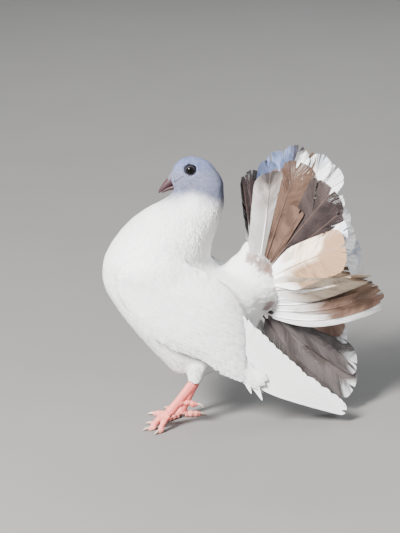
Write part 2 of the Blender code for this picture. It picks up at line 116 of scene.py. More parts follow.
class Value:
    """One output of a node. Arithmetic on it adds Math nodes to the same finish."""

    def __init__(self, finish, socket):
        self.finish = finish
        self.socket = socket

    def math(self, operation, *items):
        return self.finish.node("ShaderNodeMath", {"operation": operation}, dict(enumerate(items)))

    def __add__(self, other):
        return self.math("ADD", self, other)

    def __sub__(self, other):
        return self.math("SUBTRACT", self, other)

    def __rsub__(self, other):
        return self.math("SUBTRACT", other, self)

    def __mul__(self, other):
        return self.math("MULTIPLY", self, other)

    def __truediv__(self, other):
        return self.math("DIVIDE", self, other)

    def __pow__(self, other):
        return self.math("POWER", self, other)

    def __abs__(self):
        return self.math("ABSOLUTE", self)

    __radd__ = __add__
    __rmul__ = __mul__

    def sine(self):
        return self.math("SINE", self)

    def larger(self, other):
        return self.math("MAXIMUM", self, other)

    def smaller(self, other):
        return self.math("MINIMUM", self, other)

    def rise(self, start, end):
        """0 before start, 1 after end, and a smooth way between them."""
        return self.finish.node(
            "ShaderNodeMapRange",
            {"interpolation_type": "SMOOTHSTEP"},
            {"Value": self, "From Min": start, "From Max": end},
        )


# %% Finishes


class Finish:
    """A procedural material, with one method that adds any node to it."""

    def __init__(self, name, roughness, **constants):
        self.material = bpy.data.materials.new(name)
        self.material.use_nodes = True
        self.tree = self.material.node_tree
        self.shader = self.tree.nodes["Principled BSDF"]
        self.shader.inputs["Roughness"].default_value = roughness
        for key, value in constants.items():
            self.shader.inputs[key.replace("_", " ")].default_value = value

    def plug(self, socket, item):
        if isinstance(item, Value):
            self.tree.links.new(item.socket, socket)
        elif isinstance(item, tuple) and len(item) == 3 and len(socket.default_value) == 4:
            socket.default_value = (*item, 1.0)
        else:
            socket.default_value = item

    def node(self, kind, settings=None, sockets=None, out=0):
        """Adds a node: its settings first, then the values or links of its sockets."""
        node = self.tree.nodes.new(kind)
        for key, value in (settings or {}).items():
            setattr(node, key, value)
        for key, item in (sockets or {}).items():
            self.plug(node.inputs[key], item)
        return Value(self, node.outputs[out])

    def mix(self, share, first, second):
        """The first colour where share is 0 and the second where it is 1."""
        return self.node("ShaderNodeMix", {"data_type": "RGBA"}, {0: share, 6: first, 7: second}, 2)

    def place(self):
        """Where a point is, in metres, in the frame."""
        return self.node("ShaderNodeNewGeometry")

    def parts_of(self, vector):
        return [self.node("ShaderNodeSeparateXYZ", None, {0: vector}, i) for i in range(3)]

    def vane(self):
        """The place on a feather: across from -1 to 1, and along from 0 to 1."""
        return self.parts_of(self.node("ShaderNodeUVMap", {"uv_map": "Vane"}))[:2]

    def noise(self, vector, scale, detail=3.0):
        sockets = {"Vector": vector, "Scale": scale, "Detail": detail}
        return self.node("ShaderNodeTexNoise", None, sockets)

    def stored(self, name, out=2):
        """A number kept with each point of the mesh. Output 0 is its colour instead."""
        return self.node("ShaderNodeAttribute", {"attribute_name": name}, out=out)

    def finished(self, colour, height=None, distance=0.0, strength=1.0, roughness=None):
        """Feeds the shader a colour, the height of a bump and a roughness, and gives the material."""
        feeds = {"Base Color": colour}
        if height is not None:
            sockets = {"Height": height, "Distance": distance, "Strength": strength}
            feeds["Normal"] = self.node("ShaderNodeBump", None, sockets)
        if roughness is not None:
            feeds["Roughness"] = roughness
        for socket, item in feeds.items():
            self.plug(self.shader.inputs[socket], item)
        return self.material


# %% Floor
FLOOR_GREYS = ((0.135, 0.132, 0.128), (0.152, 0.149, 0.145))


def built(name, maker):
    """A new object whose mesh was made in maker."""
    mesh = bpy.data.meshes.new(name)
    maker.to_mesh(mesh)
    maker.free()
    return added(name, mesh)


floor_maker = bmesh.new()
bmesh.ops.create_grid(floor_maker, x_segments=4, y_segments=4, size=9.0)
floor = built("floor", floor_maker)
paper = Finish("floor_paper", 0.85)
floor.data.materials.append(paper.finished(paper.mix(paper.noise(paper.place(), 6.0), *FLOOR_GREYS)))

# %% [markdown]
# ## The colour of the plumage
# The bird is white. Its head and upper neck are painted a cool bluish grey, a cast shadow painted into the
# plumage, and a few tan feathers break the white over the root of the tail. Skin and coat must agree
# wherever the coat parts, so one function works the painted shadow and the tan spots out from the place on
# the body, and both finishes use it.

# %% Markings and the painted head shadow
WHITE = (0.86, 0.86, 0.855)
# The head's cool grey and the crown's deeper bluish grey are a painted cast shadow on white plumage.
HEAD_SHADOW_GREY = (0.11, 0.122, 0.202)
CROWN_SHADOW_BLUE = (0.068, 0.096, 0.232)
COVERT_TAN = (0.16, 0.08, 0.058)
LORE_DARK = (0.035, 0.033, 0.05)
HEAD_SHADOW_TOP = 244 * MM
HEAD_SHADOW_END = 225 * MM
CROWN_SHADOW_START = 256 * MM
CROWN_SHADOW_END = 270 * MM
LORE_LINE = ((-69.0, 248.4), (-58.4, 257.2))  # x and z in mm, from the gape to the eye
# places and radii in mm
TAN_SPOTS = (((8, -18, 174), 7.0), ((20, -16, 165), 8.5), ((29, -14, 160), 8.5), ((27, -17, 123), 8.0))


def lore_line(x, height):
    """1 on the thin dark line that goes on from the gape to the eye."""
    start, end = (np.array(place) * MM for place in LORE_LINE)
    length = float(np.linalg.norm(end - start))
    level, rise = (end - start) / length
    dx, dz = x - float(start[0]), height - float(start[1])
    along = dx * float(level) + dz * float(rise)
    away = abs(dz * float(level) - dx * float(rise))
    width = 1.7 * MM - (along / length) * (0.95 * MM)
    return (1 - (away / width).rise(0.2, 1.0)) * along.rise(-MM, 0.0) * (1 - along.rise(length - MM, length))


def plumage_colour(finish):
    """The body's colour at a place: white, a painted cool grey shadow on the head, tan spots by the tail."""
    place = finish.place()
    x, _, height = finish.parts_of(place)
    # ragged, on_nape and on_chin shape the lower edge of the painted head shadow.
    ragged = (finish.noise(place, 90.0) - 0.5) * 0.012
    on_nape = (x + 45 * MM).larger(-5 * MM) * 0.4
    on_chin = (-55 * MM - x).rise(0.0, 10 * MM) * (5 * MM)
    edge = ragged + on_nape + on_chin
    # Painted cast shadow: the head is mixed to cool grey, deeper and bluer on the crown.
    head = finish.mix(height.rise(CROWN_SHADOW_START, CROWN_SHADOW_END), HEAD_SHADOW_GREY, CROWN_SHADOW_BLUE)
    colour = finish.mix((height + edge).rise(HEAD_SHADOW_END, HEAD_SHADOW_TOP), WHITE, head)
    colour = finish.mix(lore_line(x, height) * 0.9, colour, LORE_DARK)
    for centre, reach in TAN_SPOTS:
        sockets = {0: place, 1: tuple(v * MM for v in centre)}
        away = finish.node("ShaderNodeVectorMath", {"operation": "DISTANCE"}, sockets, 1)
        away = away + (finish.noise(place, 260.0) - 0.5) * 0.008
        spot = 1 - away.rise(reach * 0.6 * MM, reach * 1.3 * MM)
        colour = finish.mix(spot * 0.85, colour, COVERT_TAN)
    return colour


# %% Finishes of skin and coat
DOWN_SHARE = 0.03
CONTOUR_BARBS = 24.0
CONTOUR_SLANT = 9.0


def down_finish():
    """The skin under the coat, covered with short down."""
    finish = Finish("down", 0.9)
    colour = finish.mix(DOWN_SHARE, plumage_colour(finish), (0.75, 0.70, 0.68))
    return finish.finished(colour, finish.noise(finish.place(), 900.0), 0.0004, 0.6)


def contour_finish():
    """Small body feathers: each has its own slight tone, a painted highlight towards its tip and fine
    slanting barbs.
    """
    finish = Finish("contour_feather", 0.72, Specular_IOR_Level=0.2)
    across, along = finish.vane()
    tone = finish.stored("tone")
    shade = finish.mix(tone * 0.10, plumage_colour(finish), (0.62, 0.64, 0.72))
    # Painted highlight: each feather is mixed towards white over its outer half.
    colour = finish.mix(along.rise(0.55, 1.0) * 0.07, shade, (0.92, 0.92, 0.92))
    barbs = ((along * CONTOUR_BARBS - abs(across) * CONTOUR_SLANT) * 2 * math.pi).sine()
    shaft = 1 - abs(across).rise(0.0, 0.14)
    return finish.finished(colour, barbs * 0.5 + shaft * 1.2, 0.0003, 0.7, 0.68 + tone * 0.12)


DOWN = down_finish()
CONTOUR = contour_finish()

# %% [markdown]
# ## One skin over the flesh
# The frame parts the flesh with thin cuts. Copies of those solids are joined and remeshed on a fine
# grid, which closes the cuts. A little smoothing rounds the grid's steps, and every point then sinks
# by the depth of the coat, so that the feathers' outer surface ends where the solids end.

# %% Arrays to and from meshes


def read(items, name, width, kind=float):
    """A field of a mesh's vertices, loops or faces as rows of numbers."""
    values = np.empty(len(items) * width, kind)
    items.foreach_get(name, values)
    return values.reshape(-1, width)


def points_of(obj):
    return read(obj.data.vertices, "co", 3)


def normals_of(obj):
    return read(obj.data.vertices, "normal", 3)


def reshape(obj, points):
    obj.data.vertices.foreach_set("co", points.ravel())
    obj.data.update()


def dress(obj, material):
    """Gives an object one material in place of any that it has."""
    obj.data.materials.clear()
    obj.data.materials.append(material)


def unit(vectors):
    """Vectors of length 1, along the last axis."""
    length = np.linalg.norm(vectors, axis=-1, keepdims=True)
    return vectors / np.maximum(length, 1e-12)


# %% Melt solids into one mesh


def remeshed(name, parts, cell, smoothing, balls=()):
    """Solids melted into one closed, even mesh. Balls, a centre and a radius, fill it out."""
    maker = bmesh.new()
    for part in parts:
        maker.from_mesh(nodes[part].data)
    for centre, radius in balls:
        move = Matrix.Translation(Vector(centre) * MM)
        bmesh.ops.create_icosphere(maker, subdivisions=3, radius=radius * MM, matrix=move)
    obj = built(name, maker)
    melt = obj.modifiers.new("melt", "REMESH")
    melt.mode = "VOXEL"
    melt.voxel_size = cell
    ease = obj.modifiers.new("ease", "SMOOTH")
    ease.iterations = smoothing
    bpy.context.view_layer.update()
    graph = bpy.context.evaluated_depsgraph_get()
    mesh = bpy.data.meshes.new_from_object(obj.evaluated_get(graph))
    obj.modifiers.clear()
    obj.data = mesh
    mesh.shade_smooth()
    return obj


# %% [markdown]
# ## Feather tracts
# On a real bird the feathers grow in tracts, each with its own lie, size and depth. A few named
# places hold these, and any other point of the body takes a blend of those near it. The lie runs
# from the bill over the crown and down the neck, down the crop, and then back under the belly.

# %% Tracts
# name: place (x, outwards, z), lie (x, outwards, z), spacing, length, half width, depth of the coat
TRACTS = {
    "forehead": ((-69, 3, 258), (0.5, 0.1, 0.85), 1.17, 3.9, 1.21, 0.48),
    "crown": ((-53, 4, 273), (1.0, 0.1, 0.05), 1.41, 5.4, 1.67, 0.64),
    "occiput": ((-33, 5, 266), (0.8, 0.0, -0.6), 1.72, 7.0, 2.23, 0.8),
    "nape": ((-19, 4, 243), (0.15, 0.0, -1.0), 1.87, 11.5, 2.14, 1.3),
    "lores": ((-66, 8, 252), (0.8, 0.45, 0.1), 1.1, 3.5, 1.12, 0.4),
    "cheek": ((-56, 16, 248), (0.85, 0.1, -0.5), 1.33, 4.8, 1.49, 0.56),
    "ear": ((-42, 18, 252), (0.8, 0.0, -0.6), 1.49, 5.8, 1.86, 0.72),
    "chin": ((-66, 4, 238), (0.2, 0.1, -1.0), 1.25, 4.5, 1.49, 0.56),
    "throat": ((-72, 8, 231), (-0.4, 0.0, -0.9), 1.72, 7.6, 2.33, 0.88),
    "neck_side": ((-45, 19, 230), (0.05, 0.0, -1.0), 1.87, 12.5, 2.14, 1.35),
    "neck_back": ((-21, 8, 210), (0.0, 0.0, -1.0), 2.12, 14.5, 2.51, 1.6),
    "crop_top": ((-93, 12, 222), (-0.8, 0.1, -0.5), 2.48, 11.9, 3.44, 1.44),
    "neck_low": ((-48, 38, 203), (0.1, 0.25, -1.0), 2.55, 17.0, 3.16, 1.8),
    "crop_front": ((-132, 15, 186), (-0.15, 0.0, -1.0), 3.21, 15.1, 4.46, 1.76),
    "crop_side": ((-100, 44, 186), (0.25, 0.1, -1.0), 3.37, 16.2, 4.84, 1.76),
    "breast": ((-136, 20, 146), (0.15, 0.0, -1.0), 3.58, 18.4, 5.21, 1.84),
    "breast_low": ((-118, 25, 106), (0.65, 0.0, -0.75), 3.8, 19.4, 5.39, 1.84),
    "belly": ((-88, 18, 78), (0.9, 0.0, -0.4), 3.8, 20.5, 5.49, 1.84),
    "flank": ((-58, 44, 88), (0.85, 0.0, -0.5), 4.1, 21.6, 5.86, 1.84),
    "vent": ((-40, 6, 58), (1.0, 0.0, 0.35), 3.65, 20.5, 5.39, 1.76),
    "thigh": ((-46, 25, 60), (-0.05, 0.0, -1.0), 2.12, 9.7, 3.16, 0.96),
    "saddle": ((-30, 10, 163), (0.55, 0.1, -0.65), 2.92, 13.0, 4.09, 1.28),
    "rump": ((-2, 8, 171), (0.85, 0.1, 0.5), 3.06, 20.0, 4.84, 1.4),
    "tail_side": ((16, 24, 146), (0.95, 0.3, 0.2), 3.4, 26.0, 5.77, 1.4),
    "under_tail": ((12, 10, 116), (1.0, 0.1, 0.05), 3.94, 22.7, 6.04, 1.6),
    "shoulder": ((-118, 46, 156), (0.8, 0.1, -0.4), 3.07, 14.0, 4.56, 0.96),
    "wing_front": ((-90, 58, 140), (0.85, 0.0, -0.5), 3.8, 18.4, 5.58, 1.04),
    "wing_middle": ((-50, 58, 120), (0.85, 0.0, -0.53), 4.97, 23.8, 7.25, 1.04),
    "wing_rear": ((-8, 48, 86), (0.83, 0.0, -0.56), 6.29, 31.3, 8.93, 1.04),
}
print("tracts:", len(TRACTS))

# %% Blend the tracts
COVERTS_FROM = np.array((-26.0, 0.0, 141.0)) * MM  # tail coverts spread from here
TRACT_PLACES = np.array([row[0] for row in TRACTS.values()], float) * MM
TRACT_LIES = unit(np.array([row[1] for row in TRACTS.values()], float))
TRACT_SIZES = np.array([row[2:] for row in TRACTS.values()], float) * MM


def tract_blend(points):
    """The coat's lie and its four sizes at each point, from the tracts that are near."""
    side = np.where(points[:, 1] < 0, -1.0, 1.0)
    folded = points.copy()
    folded[:, 1] = np.abs(folded[:, 1])
    away = np.linalg.norm(folded[:, None] - TRACT_PLACES[None], axis=2)
    weight = 1.0 / (away + 2 * MM) ** 4
    weight /= weight.sum(1, keepdims=True)
    lie = weight @ TRACT_LIES
    midline = np.clip(folded[:, 1] / (6 * MM), 0.0, 1.0)
    lie[:, 1] *= side * midline
    behind = np.clip((points[:, 0] + 16 * MM) / (26 * MM), 0.0, 1.0)
    above = np.clip((points[:, 2] - 95 * MM) / (15 * MM), 0.0, 1.0)
    spread = (behind * above * (folded[:, 1] < 34 * MM))[:, None]
    lie = unit(lie) * (1 - spread) + unit(points - COVERTS_FROM) * spread
    return unit(lie), weight @ TRACT_SIZES


# %% Make the skin
FLESH = ["head", "neck", "trunk", "tail_base"]
FLESH += [f"{part}_{side}" for part in ("thigh", "wing") for side, _ in SIDES]
SKIN_CELL = 2.2 * MM
SKIN_SMOOTHING = 6
SKIN_SINK = 0.85  # of the coat's depth
UNWRAP_ANGLE = 1.15
skin = remeshed("skin", FLESH, SKIN_CELL, SKIN_SMOOTHING)
shell = points_of(skin)
reshape(skin, shell - normals_of(skin) * tract_blend(shell)[1][:, 3:] * SKIN_SINK)
bpy.context.view_layer.objects.active = skin
skin.select_set(True)
skin.data.uv_layers.new(name="OFBake")
bpy.ops.object.mode_set(mode="EDIT")
bpy.ops.mesh.select_all(action="SELECT")
bpy.ops.uv.smart_project(angle_limit=UNWRAP_ANGLE, island_margin=0.004)
bpy.ops.object.mode_set(mode="OBJECT")
dress(skin, DOWN)
print("skin:", len(skin.data.polygons), "faces")

# %% [markdown]
# ## Laying a feather on the body
# A feather lies on what is under it, so every row of its points is dropped onto the nearest place of
# the ground and then lifted along the ground's normal. Each feather rises from root to tip. Where two
# overlap, the one rooted further forward is then higher, as on the bird, and they don't cross.

# %% Ground


def blend(corners, shares):
    """Values at the corners of triangles, blended by how near each corner is."""
    return (corners * shares[:, :, None]).sum(1)


class Ground:
    """Solid surfaces that feathers are laid on, with their smooth normals."""

    def __init__(self, objects):
        triangles, base = [], 0
        for obj in objects:
            obj.data.calc_loop_triangles()
            triangles.append(read(obj.data.loop_triangles, "vertices", 3, np.int32) + base)
            base += len(obj.data.vertices)
        self.points = np.concatenate([points_of(obj) for obj in objects])
        self.normals = np.concatenate([normals_of(obj) for obj in objects])
        self.triangles = np.concatenate(triangles)
        self.tree = BVHTree.FromPolygons(self.points.tolist(), self.triangles.tolist())

    def shares(self, faces, points):
        """How near each point is to each corner of its triangle."""
        a, b, c = (self.points[self.triangles[faces, i]] for i in range(3))
        ab, ac, ap = b - a, c - a, points - a
        d00, d01, d11 = (ab * ab).sum(1), (ab * ac).sum(1), (ac * ac).sum(1)
        d20, d21 = (ap * ab).sum(1), (ap * ac).sum(1)
        below = np.maximum(d00 * d11 - d01 * d01, 1e-18)
        v = (d11 * d20 - d01 * d21) / below
        w = (d00 * d21 - d01 * d20) / below
        return np.clip(np.stack((1 - v - w, v, w), 1), 0.0, 1.0)

    def under(self, points):
        """The nearest place of the ground to each point, and its smooth normal."""
        shape = points.shape
        flat = points.reshape(-1, 3)
        found = [self.tree.find_nearest(point) for point in flat.tolist()]
        places = np.array([hit[0][:] for hit in found])
        faces = np.array([hit[2] for hit in found])
        normals = unit(blend(self.normals[self.triangles[faces]], self.shares(faces, places)))
        return places.reshape(shape), normals.reshape(shape)


tail_nodes = [name for name in nodes if name.startswith("tail_") and name != "tail_base"]
flight_nodes = [name for name in nodes if name.startswith(("secondaries_", "primaries_"))]
skin_ground = Ground([skin])
coat_ground = Ground([skin] + [nodes[name] for name in tail_nodes + flight_nodes])
print("ground:", len(coat_ground.triangles), "triangles")

# %% Spread the roots
ROOT_SEED = 7
CANDIDATES = 7  # places tried for each feather that is kept
EYE_PLACE = np.array((-52.6, 11.5, 262.0))
BARE_ROUND_EYE = 5.0 * MM
BARE_BILL_CENTRE = np.array((-73.0, 0.0, 249.0)) * MM
BARE_BILL_REACH = 7.6 * MM


def spread_roots(ground, seed):
    """Even but irregular places on the ground, closer where the tracts ask for it."""
    draw = np.random.default_rng(seed)
    corners = ground.points[ground.triangles]
    cross = np.cross(corners[:, 1] - corners[:, 0], corners[:, 2] - corners[:, 0])
    area = np.linalg.norm(cross, axis=1) / 2
    spacing = tract_blend(corners.mean(1))[1][:, 0]
    wanted = area / spacing**2
    count = int(wanted.sum() * CANDIDATES)
    faces = draw.choice(len(area), count, p=wanted / wanted.sum())
    share = draw.dirichlet((1, 1, 1), count)
    places = blend(corners[faces], share)
    spacing = spacing[faces]
    tree = KDTree(count)
    for i, place in enumerate(places):
        tree.insert(place, i)
    tree.balance()
    free = np.ones(count, bool)
    kept = []
    for i in range(count):
        if free[i]:
            kept.append(i)
            for _, near, _ in tree.find_range(places[i], spacing[i]):
                free[near] = False
    kept = np.array(kept)
    return places[kept], faces[kept], share[kept]


roots, root_faces, root_shares = spread_roots(skin_ground, ROOT_SEED)
from_eye = np.hypot(*(roots[:, axis] - EYE_PLACE[axis] * MM for axis in (0, 2)))
at_eye = (from_eye < BARE_ROUND_EYE) & (np.abs(roots[:, 1]) > 8 * MM)
at_bill = np.linalg.norm(roots - BARE_BILL_CENTRE, axis=1) < BARE_BILL_REACH
kept_roots = ~(at_eye | at_bill)
roots, root_faces, root_shares = roots[kept_roots], root_faces[kept_roots], root_shares[kept_roots]
root_loops = read(skin.data.loop_triangles, "loops", 3, np.int32)[root_faces]
root_unwrap = blend(read(skin.data.uv_layers["OFBake"].data, "uv", 2)[root_loops], root_shares)
print("small feathers:", len(roots))

# %% From arrays to a piece


def mesh_piece(name, points, quads, finish, maps, stored, replaces=(), shading=None):
    """A shown piece from arrays. maps are UV maps by point, stored are numbers by point.

    shading gives each point's normal, where the light shouldn't break at every small edge.
    """
    mesh = bpy.data.meshes.new(name)
    mesh.vertices.add(len(points))
    mesh.vertices.foreach_set("co", points.ravel())
    mesh.loops.add(quads.size)
    mesh.loops.foreach_set("vertex_index", quads.ravel())
    mesh.polygons.add(len(quads))
    mesh.polygons.foreach_set("loop_start", np.arange(len(quads)) * 4)
    mesh.update(calc_edges=True)
    for key, places in maps.items():
        mesh.uv_layers.new(name=key).data.foreach_set("uv", places[quads.ravel()].ravel())
    for key, numbers in stored.items():
        kind, form = ("FLOAT", "value") if numbers.ndim == 1 else ("FLOAT_COLOR", "color")
        mesh.attributes.new(key, kind, "POINT").data.foreach_set(form, numbers.ravel())
    mesh.shade_smooth()
    if shading is not None:
        mesh.normals_split_custom_set_from_vertices(shading.tolist())
    mesh.materials.append(finish)
    kept_piece(added(name, mesh), replaces)


def kept_piece(obj, replaces=()):
    """Hangs a piece on the frame's root and hides the nodes that it stands for."""
    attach(obj, "root")
    if replaces:
        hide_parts(*replaces)


def grid_quads(count, rows, columns):
    """Faces of many equal grids whose points follow one another."""
    row, column = np.meshgrid(np.arange(rows - 1), np.arange(columns - 1), indexing="ij")
    first = (row * columns + column).ravel()
    one = np.stack((first, first + 1, first + columns + 1, first + columns), 1)
    return (one[None] + (np.arange(count) * rows * columns)[:, None, None]).reshape(-1, 4)


# %% Build the small feathers
FEATHER_STEPS = 6
FEATHER_COLUMNS = np.array((-1.0, -0.55, 0.0, 0.55, 1.0))
TURN_SPREAD = 0.07  # in radians
OFFSET_SPREAD = 0.03  # of the coat's depth
ROOT_WIDTH = 0.45
ROUND_FROM = 0.55  # share of the length where the tip starts to round
TIP_BACK = 0.10  # how far the tip's corners lie back
SIDE_TILT = 0.075  # how far the light still sees a feather's own sides and tip
TIP_TILT = 0.085
RUMP_RELIEF = 0.7  # as a share of the neck's
HACKLE_RELIEF = 2.6  # the neck's narrow feathers show more of their own shape
HACKLE_HEIGHTS = (182 * MM, 236 * MM)


def small_feathers(places, lies, sizes, seed):
    """Points of many small feathers, (feather, row, column, 3), and the ground's normals there."""
    draw = np.random.default_rng(seed)
    count = len(places)
    _, length, half, depth = (sizes[:, i] for i in range(4))
    length = length * draw.uniform(0.9, 1.1, count)
    turn = draw.normal(0, TURN_SPREAD, count)[:, None]
    offset = draw.uniform(-OFFSET_SPREAD, OFFSET_SPREAD, count) * depth
    middle, normal = coat_ground.under(places)
    way = unit(lies + turn * np.cross(lies, normal))
    low, high = (np.clip((places[:, 2] - z) / (20 * MM), 0.0, 1.0) for z in HACKLE_HEIGHTS)
    hackle = low - high + RUMP_RELIEF * np.clip((places[:, 0] + 12 * MM) / (15 * MM), 0.0, 1.0)
    shares = np.linspace(0.0, 1.0, FEATHER_STEPS + 1)
    points = np.empty((count, len(shares), len(FEATHER_COLUMNS), 3))
    ups = np.empty_like(points)
    for row, share in enumerate(shares):
        if row:
            step = length / FEATHER_STEPS
            middle, normal = coat_ground.under(middle + way * step[:, None])
            fresh = tract_blend(middle)[0]
            way = way * 0.6 + fresh * 0.4
        way = unit(way - normal * (way * normal).sum(1, keepdims=True))
        sideways = np.cross(normal, way)
        body = min(1.0, ROOT_WIDTH + 1.4 * share)
        tip = math.sqrt(max(0.06, 1 - (max(0.0, share - ROUND_FROM) / 0.46) ** 2))
        rise = depth * (0.16 + 0.84 * (1 - (1 - share) ** 2.3)) + offset
        for column, across in enumerate(FEATHER_COLUMNS):
            back = TIP_BACK * across**2 * share**2
            flat = middle + sideways * (half * body * tip * across)[:, None]
            flat = flat - way * (length * back)[:, None]
            ground, up = coat_ground.under(flat)
            lift = rise - 0.02 * half * across**2 * share
            points[:, row, column] = ground + up * np.maximum(lift, 0.0)[:, None]
            tilt = sideways * (SIDE_TILT * across) + way * (TIP_TILT * share**4)
            tilt = tilt * (1 + HACKLE_RELIEF * hackle)[:, None]
            agree = np.clip((up * normal).sum(1, keepdims=True), 0.0, 1.0)
            ups[:, row, column] = unit(up * agree + normal * (1.001 - agree) + tilt)
    return points, ups


lies, sizes = tract_blend(roots)
coat_points, coat_ups = small_feathers(roots, lies, sizes, ROOT_SEED + 1)
tones = np.random.default_rng(ROOT_SEED + 2).random(len(roots))
print("coat height above the skin up to", round(float(sizes[:, 3].max()) / MM, 2), "mm")

# %% Share the coat out into pieces
TUFT_PATCH = 0.003  # size of a feather on the skin's bake map
HEAD_BASE = 231 * MM
NECK_BASE = 198 * MM
WING_PLANE = 43 * MM
x, y, z = roots.T
on_wing = (np.abs(y) > WING_PLANE) & (z < 175 * MM) & (x > -128 * MM)
on_trunk = (z <= NECK_BASE) & ~on_wing
COAT_PIECES = {
    "coat_head": z > HEAD_BASE,
    "coat_neck": (z <= HEAD_BASE) & (z > NECK_BASE),
    "coat_wing_left": on_wing & (y < 0),
    "coat_wing_right": on_wing & (y > 0),
    "coat_front": on_trunk & (x < -75 * MM),
    "coat_rear": on_trunk & (x >= -75 * MM),
}
along, across = np.meshgrid(np.linspace(0, 1, FEATHER_STEPS + 1), FEATHER_COLUMNS, indexing="ij")
vane_place = np.stack((across, along), 2).reshape(-1, 2)
patch = np.stack((across * 0.5, along - 0.5), 2).reshape(-1, 2) * TUFT_PATCH
for name, chosen in COAT_PIECES.items():
    count = int(chosen.sum())
    unwrap = (root_unwrap[chosen][:, None] + patch[None]).reshape(-1, 2)
    mesh_piece(
        name,
        coat_points[chosen].reshape(-1, 3),
        grid_quads(count, *along.shape)[:, ::-1],
        CONTOUR,
        {"OFBake": unwrap, "Vane": np.tile(vane_place, (count, 1))},
        {"tone": np.repeat(tones[chosen], along.size)},
        shading=coat_ups[chosen].reshape(-1, 3),
    )
    print(name, count, "feathers")
kept_piece(skin, FLESH)

# %% [markdown]
# ## Long feathers, barb by barb
# A wing or tail feather is a stiff shaft with a vane on either side. The vane is made of barbs that
# lean towards the tip and hold together, and where they let go the vane splits. So a vane is made of
# thin strips that leave the shaft at the barbs' angle and end on the feather's outline. Strips of one
# group share their angle, and a small turn between two groups opens a split, as on a worn feather.

# %% Outline and shaft


def vane_width(distance, length, half, square, tip):
    """Half the feather's width at a distance from its root.

    A larger square makes a blunter tip, and the tip is as many half widths long as it says.
    """
    share = np.clip(distance / length, 0.0, 1.0)
    rise = np.clip((share - 0.02) / 0.42, 0.0, 1.0)
    body = 0.34 + 0.66 * rise * rise * (3 - 2 * rise)
    start = 1 - tip * half / length
    end = np.clip((share - start) / (1 - start), 0.0, 1.0)
    return half * body * (1 - end**square) ** (1 / square)


def barb_reach(root, angle, length, *outline):
    """How long a barb is from its root on the shaft to the feather's outline."""
    low, high = np.zeros_like(root), np.full_like(root, length)
    for _ in range(24):
        middle = (low + high) / 2
        inside = middle * np.sin(angle) < vane_width(root + middle * np.cos(angle), length, *outline)
        low, high = np.where(inside, middle, low), np.where(inside, high, middle)
    return low


class Shaft:
    """A feather's middle line with the ways sideways and up at each point of it."""

    def __init__(self, points, sideways):
        self.points = np.asarray(points)
        self.way = unit(np.gradient(self.points, axis=0))
        flat = np.asarray(sideways)
        flat = flat - self.way * (flat * self.way).sum(1, keepdims=True)
        self.sideways = unit(flat)
        self.up = np.cross(self.way, self.sideways)
        steps = np.linalg.norm(np.diff(self.points, axis=0), axis=1)
        self.walked = np.concatenate(([0.0], np.cumsum(steps)))
        self.length = self.walked[-1]

    def at(self, distance, columns):
        return np.stack([np.interp(distance, self.walked, column) for column in columns.T], -1)

    def place(self, distance, across, lift):
        """The point that far along, that far across and that far above the middle line."""
        middle = self.at(distance, self.points)
        beyond = np.maximum(distance - self.length, 0.0)[..., None]
        middle = middle + beyond * self.way[-1]
        side, up = self.at(distance, self.sideways), self.at(distance, self.up)
        return middle + side * across[..., None] + up * lift[..., None]


# %% Quill
QUILL_SIDES = 6
QUILL_STEPS = 14
QUILL_WIDTH = 0.0085  # of the feather's length, at the root


def ring_quads(rows, sides):
    """Faces between closed rings of points that follow one another."""
    row, column = np.meshgrid(np.arange(rows - 1) * sides, np.arange(sides), indexing="ij")
    after = (column + 1) % sides
    corners = (row + column, row + after, row + sides + after, row + sides + column)
    return np.stack(corners, 2).reshape(-1, 4)


def quill(shaft, length):
    """The tapered shaft as a tube that stands a little above both faces of the vane."""
    distance = np.linspace(0.0, shaft.length * 1.01, QUILL_STEPS)[:, None]
    turn = np.linspace(0, 2 * math.pi, QUILL_SIDES, endpoint=False)[None]
    radius = length * QUILL_WIDTH * (1.08 - distance / shaft.length) ** 0.8
    across, lift = radius * np.cos(turn) * 0.9, radius * np.sin(turn)
    distance = np.broadcast_to(distance, across.shape)
    places = np.stack((across * 0, distance / length), 2).reshape(-1, 2)
    grid = shaft.place(distance, across, lift).reshape(-1, 3)
    return grid, ring_quads(QUILL_STEPS, QUILL_SIDES), places


# %% Barbs
VANE_START = 0.07  # share of the length that is bare quill
BARB_BASE_ANGLE = math.radians(50)
BARB_TIP_ANGLE = math.radians(13)
BARB_LIMITS = (math.radians(5), math.radians(75))
BARB_PIECES = 4
BARB_TURN = math.radians(0.35)
BARB_UNEVEN = 0.022
SPLIT_PLACES = (0.25, 0.97)  # between these shares of the vane
SPLIT_TURN = math.radians(2.2)
SPLIT_LIFT = 0.020
VANE_CAMBER = 0.06
SHAFT_END = 0.94


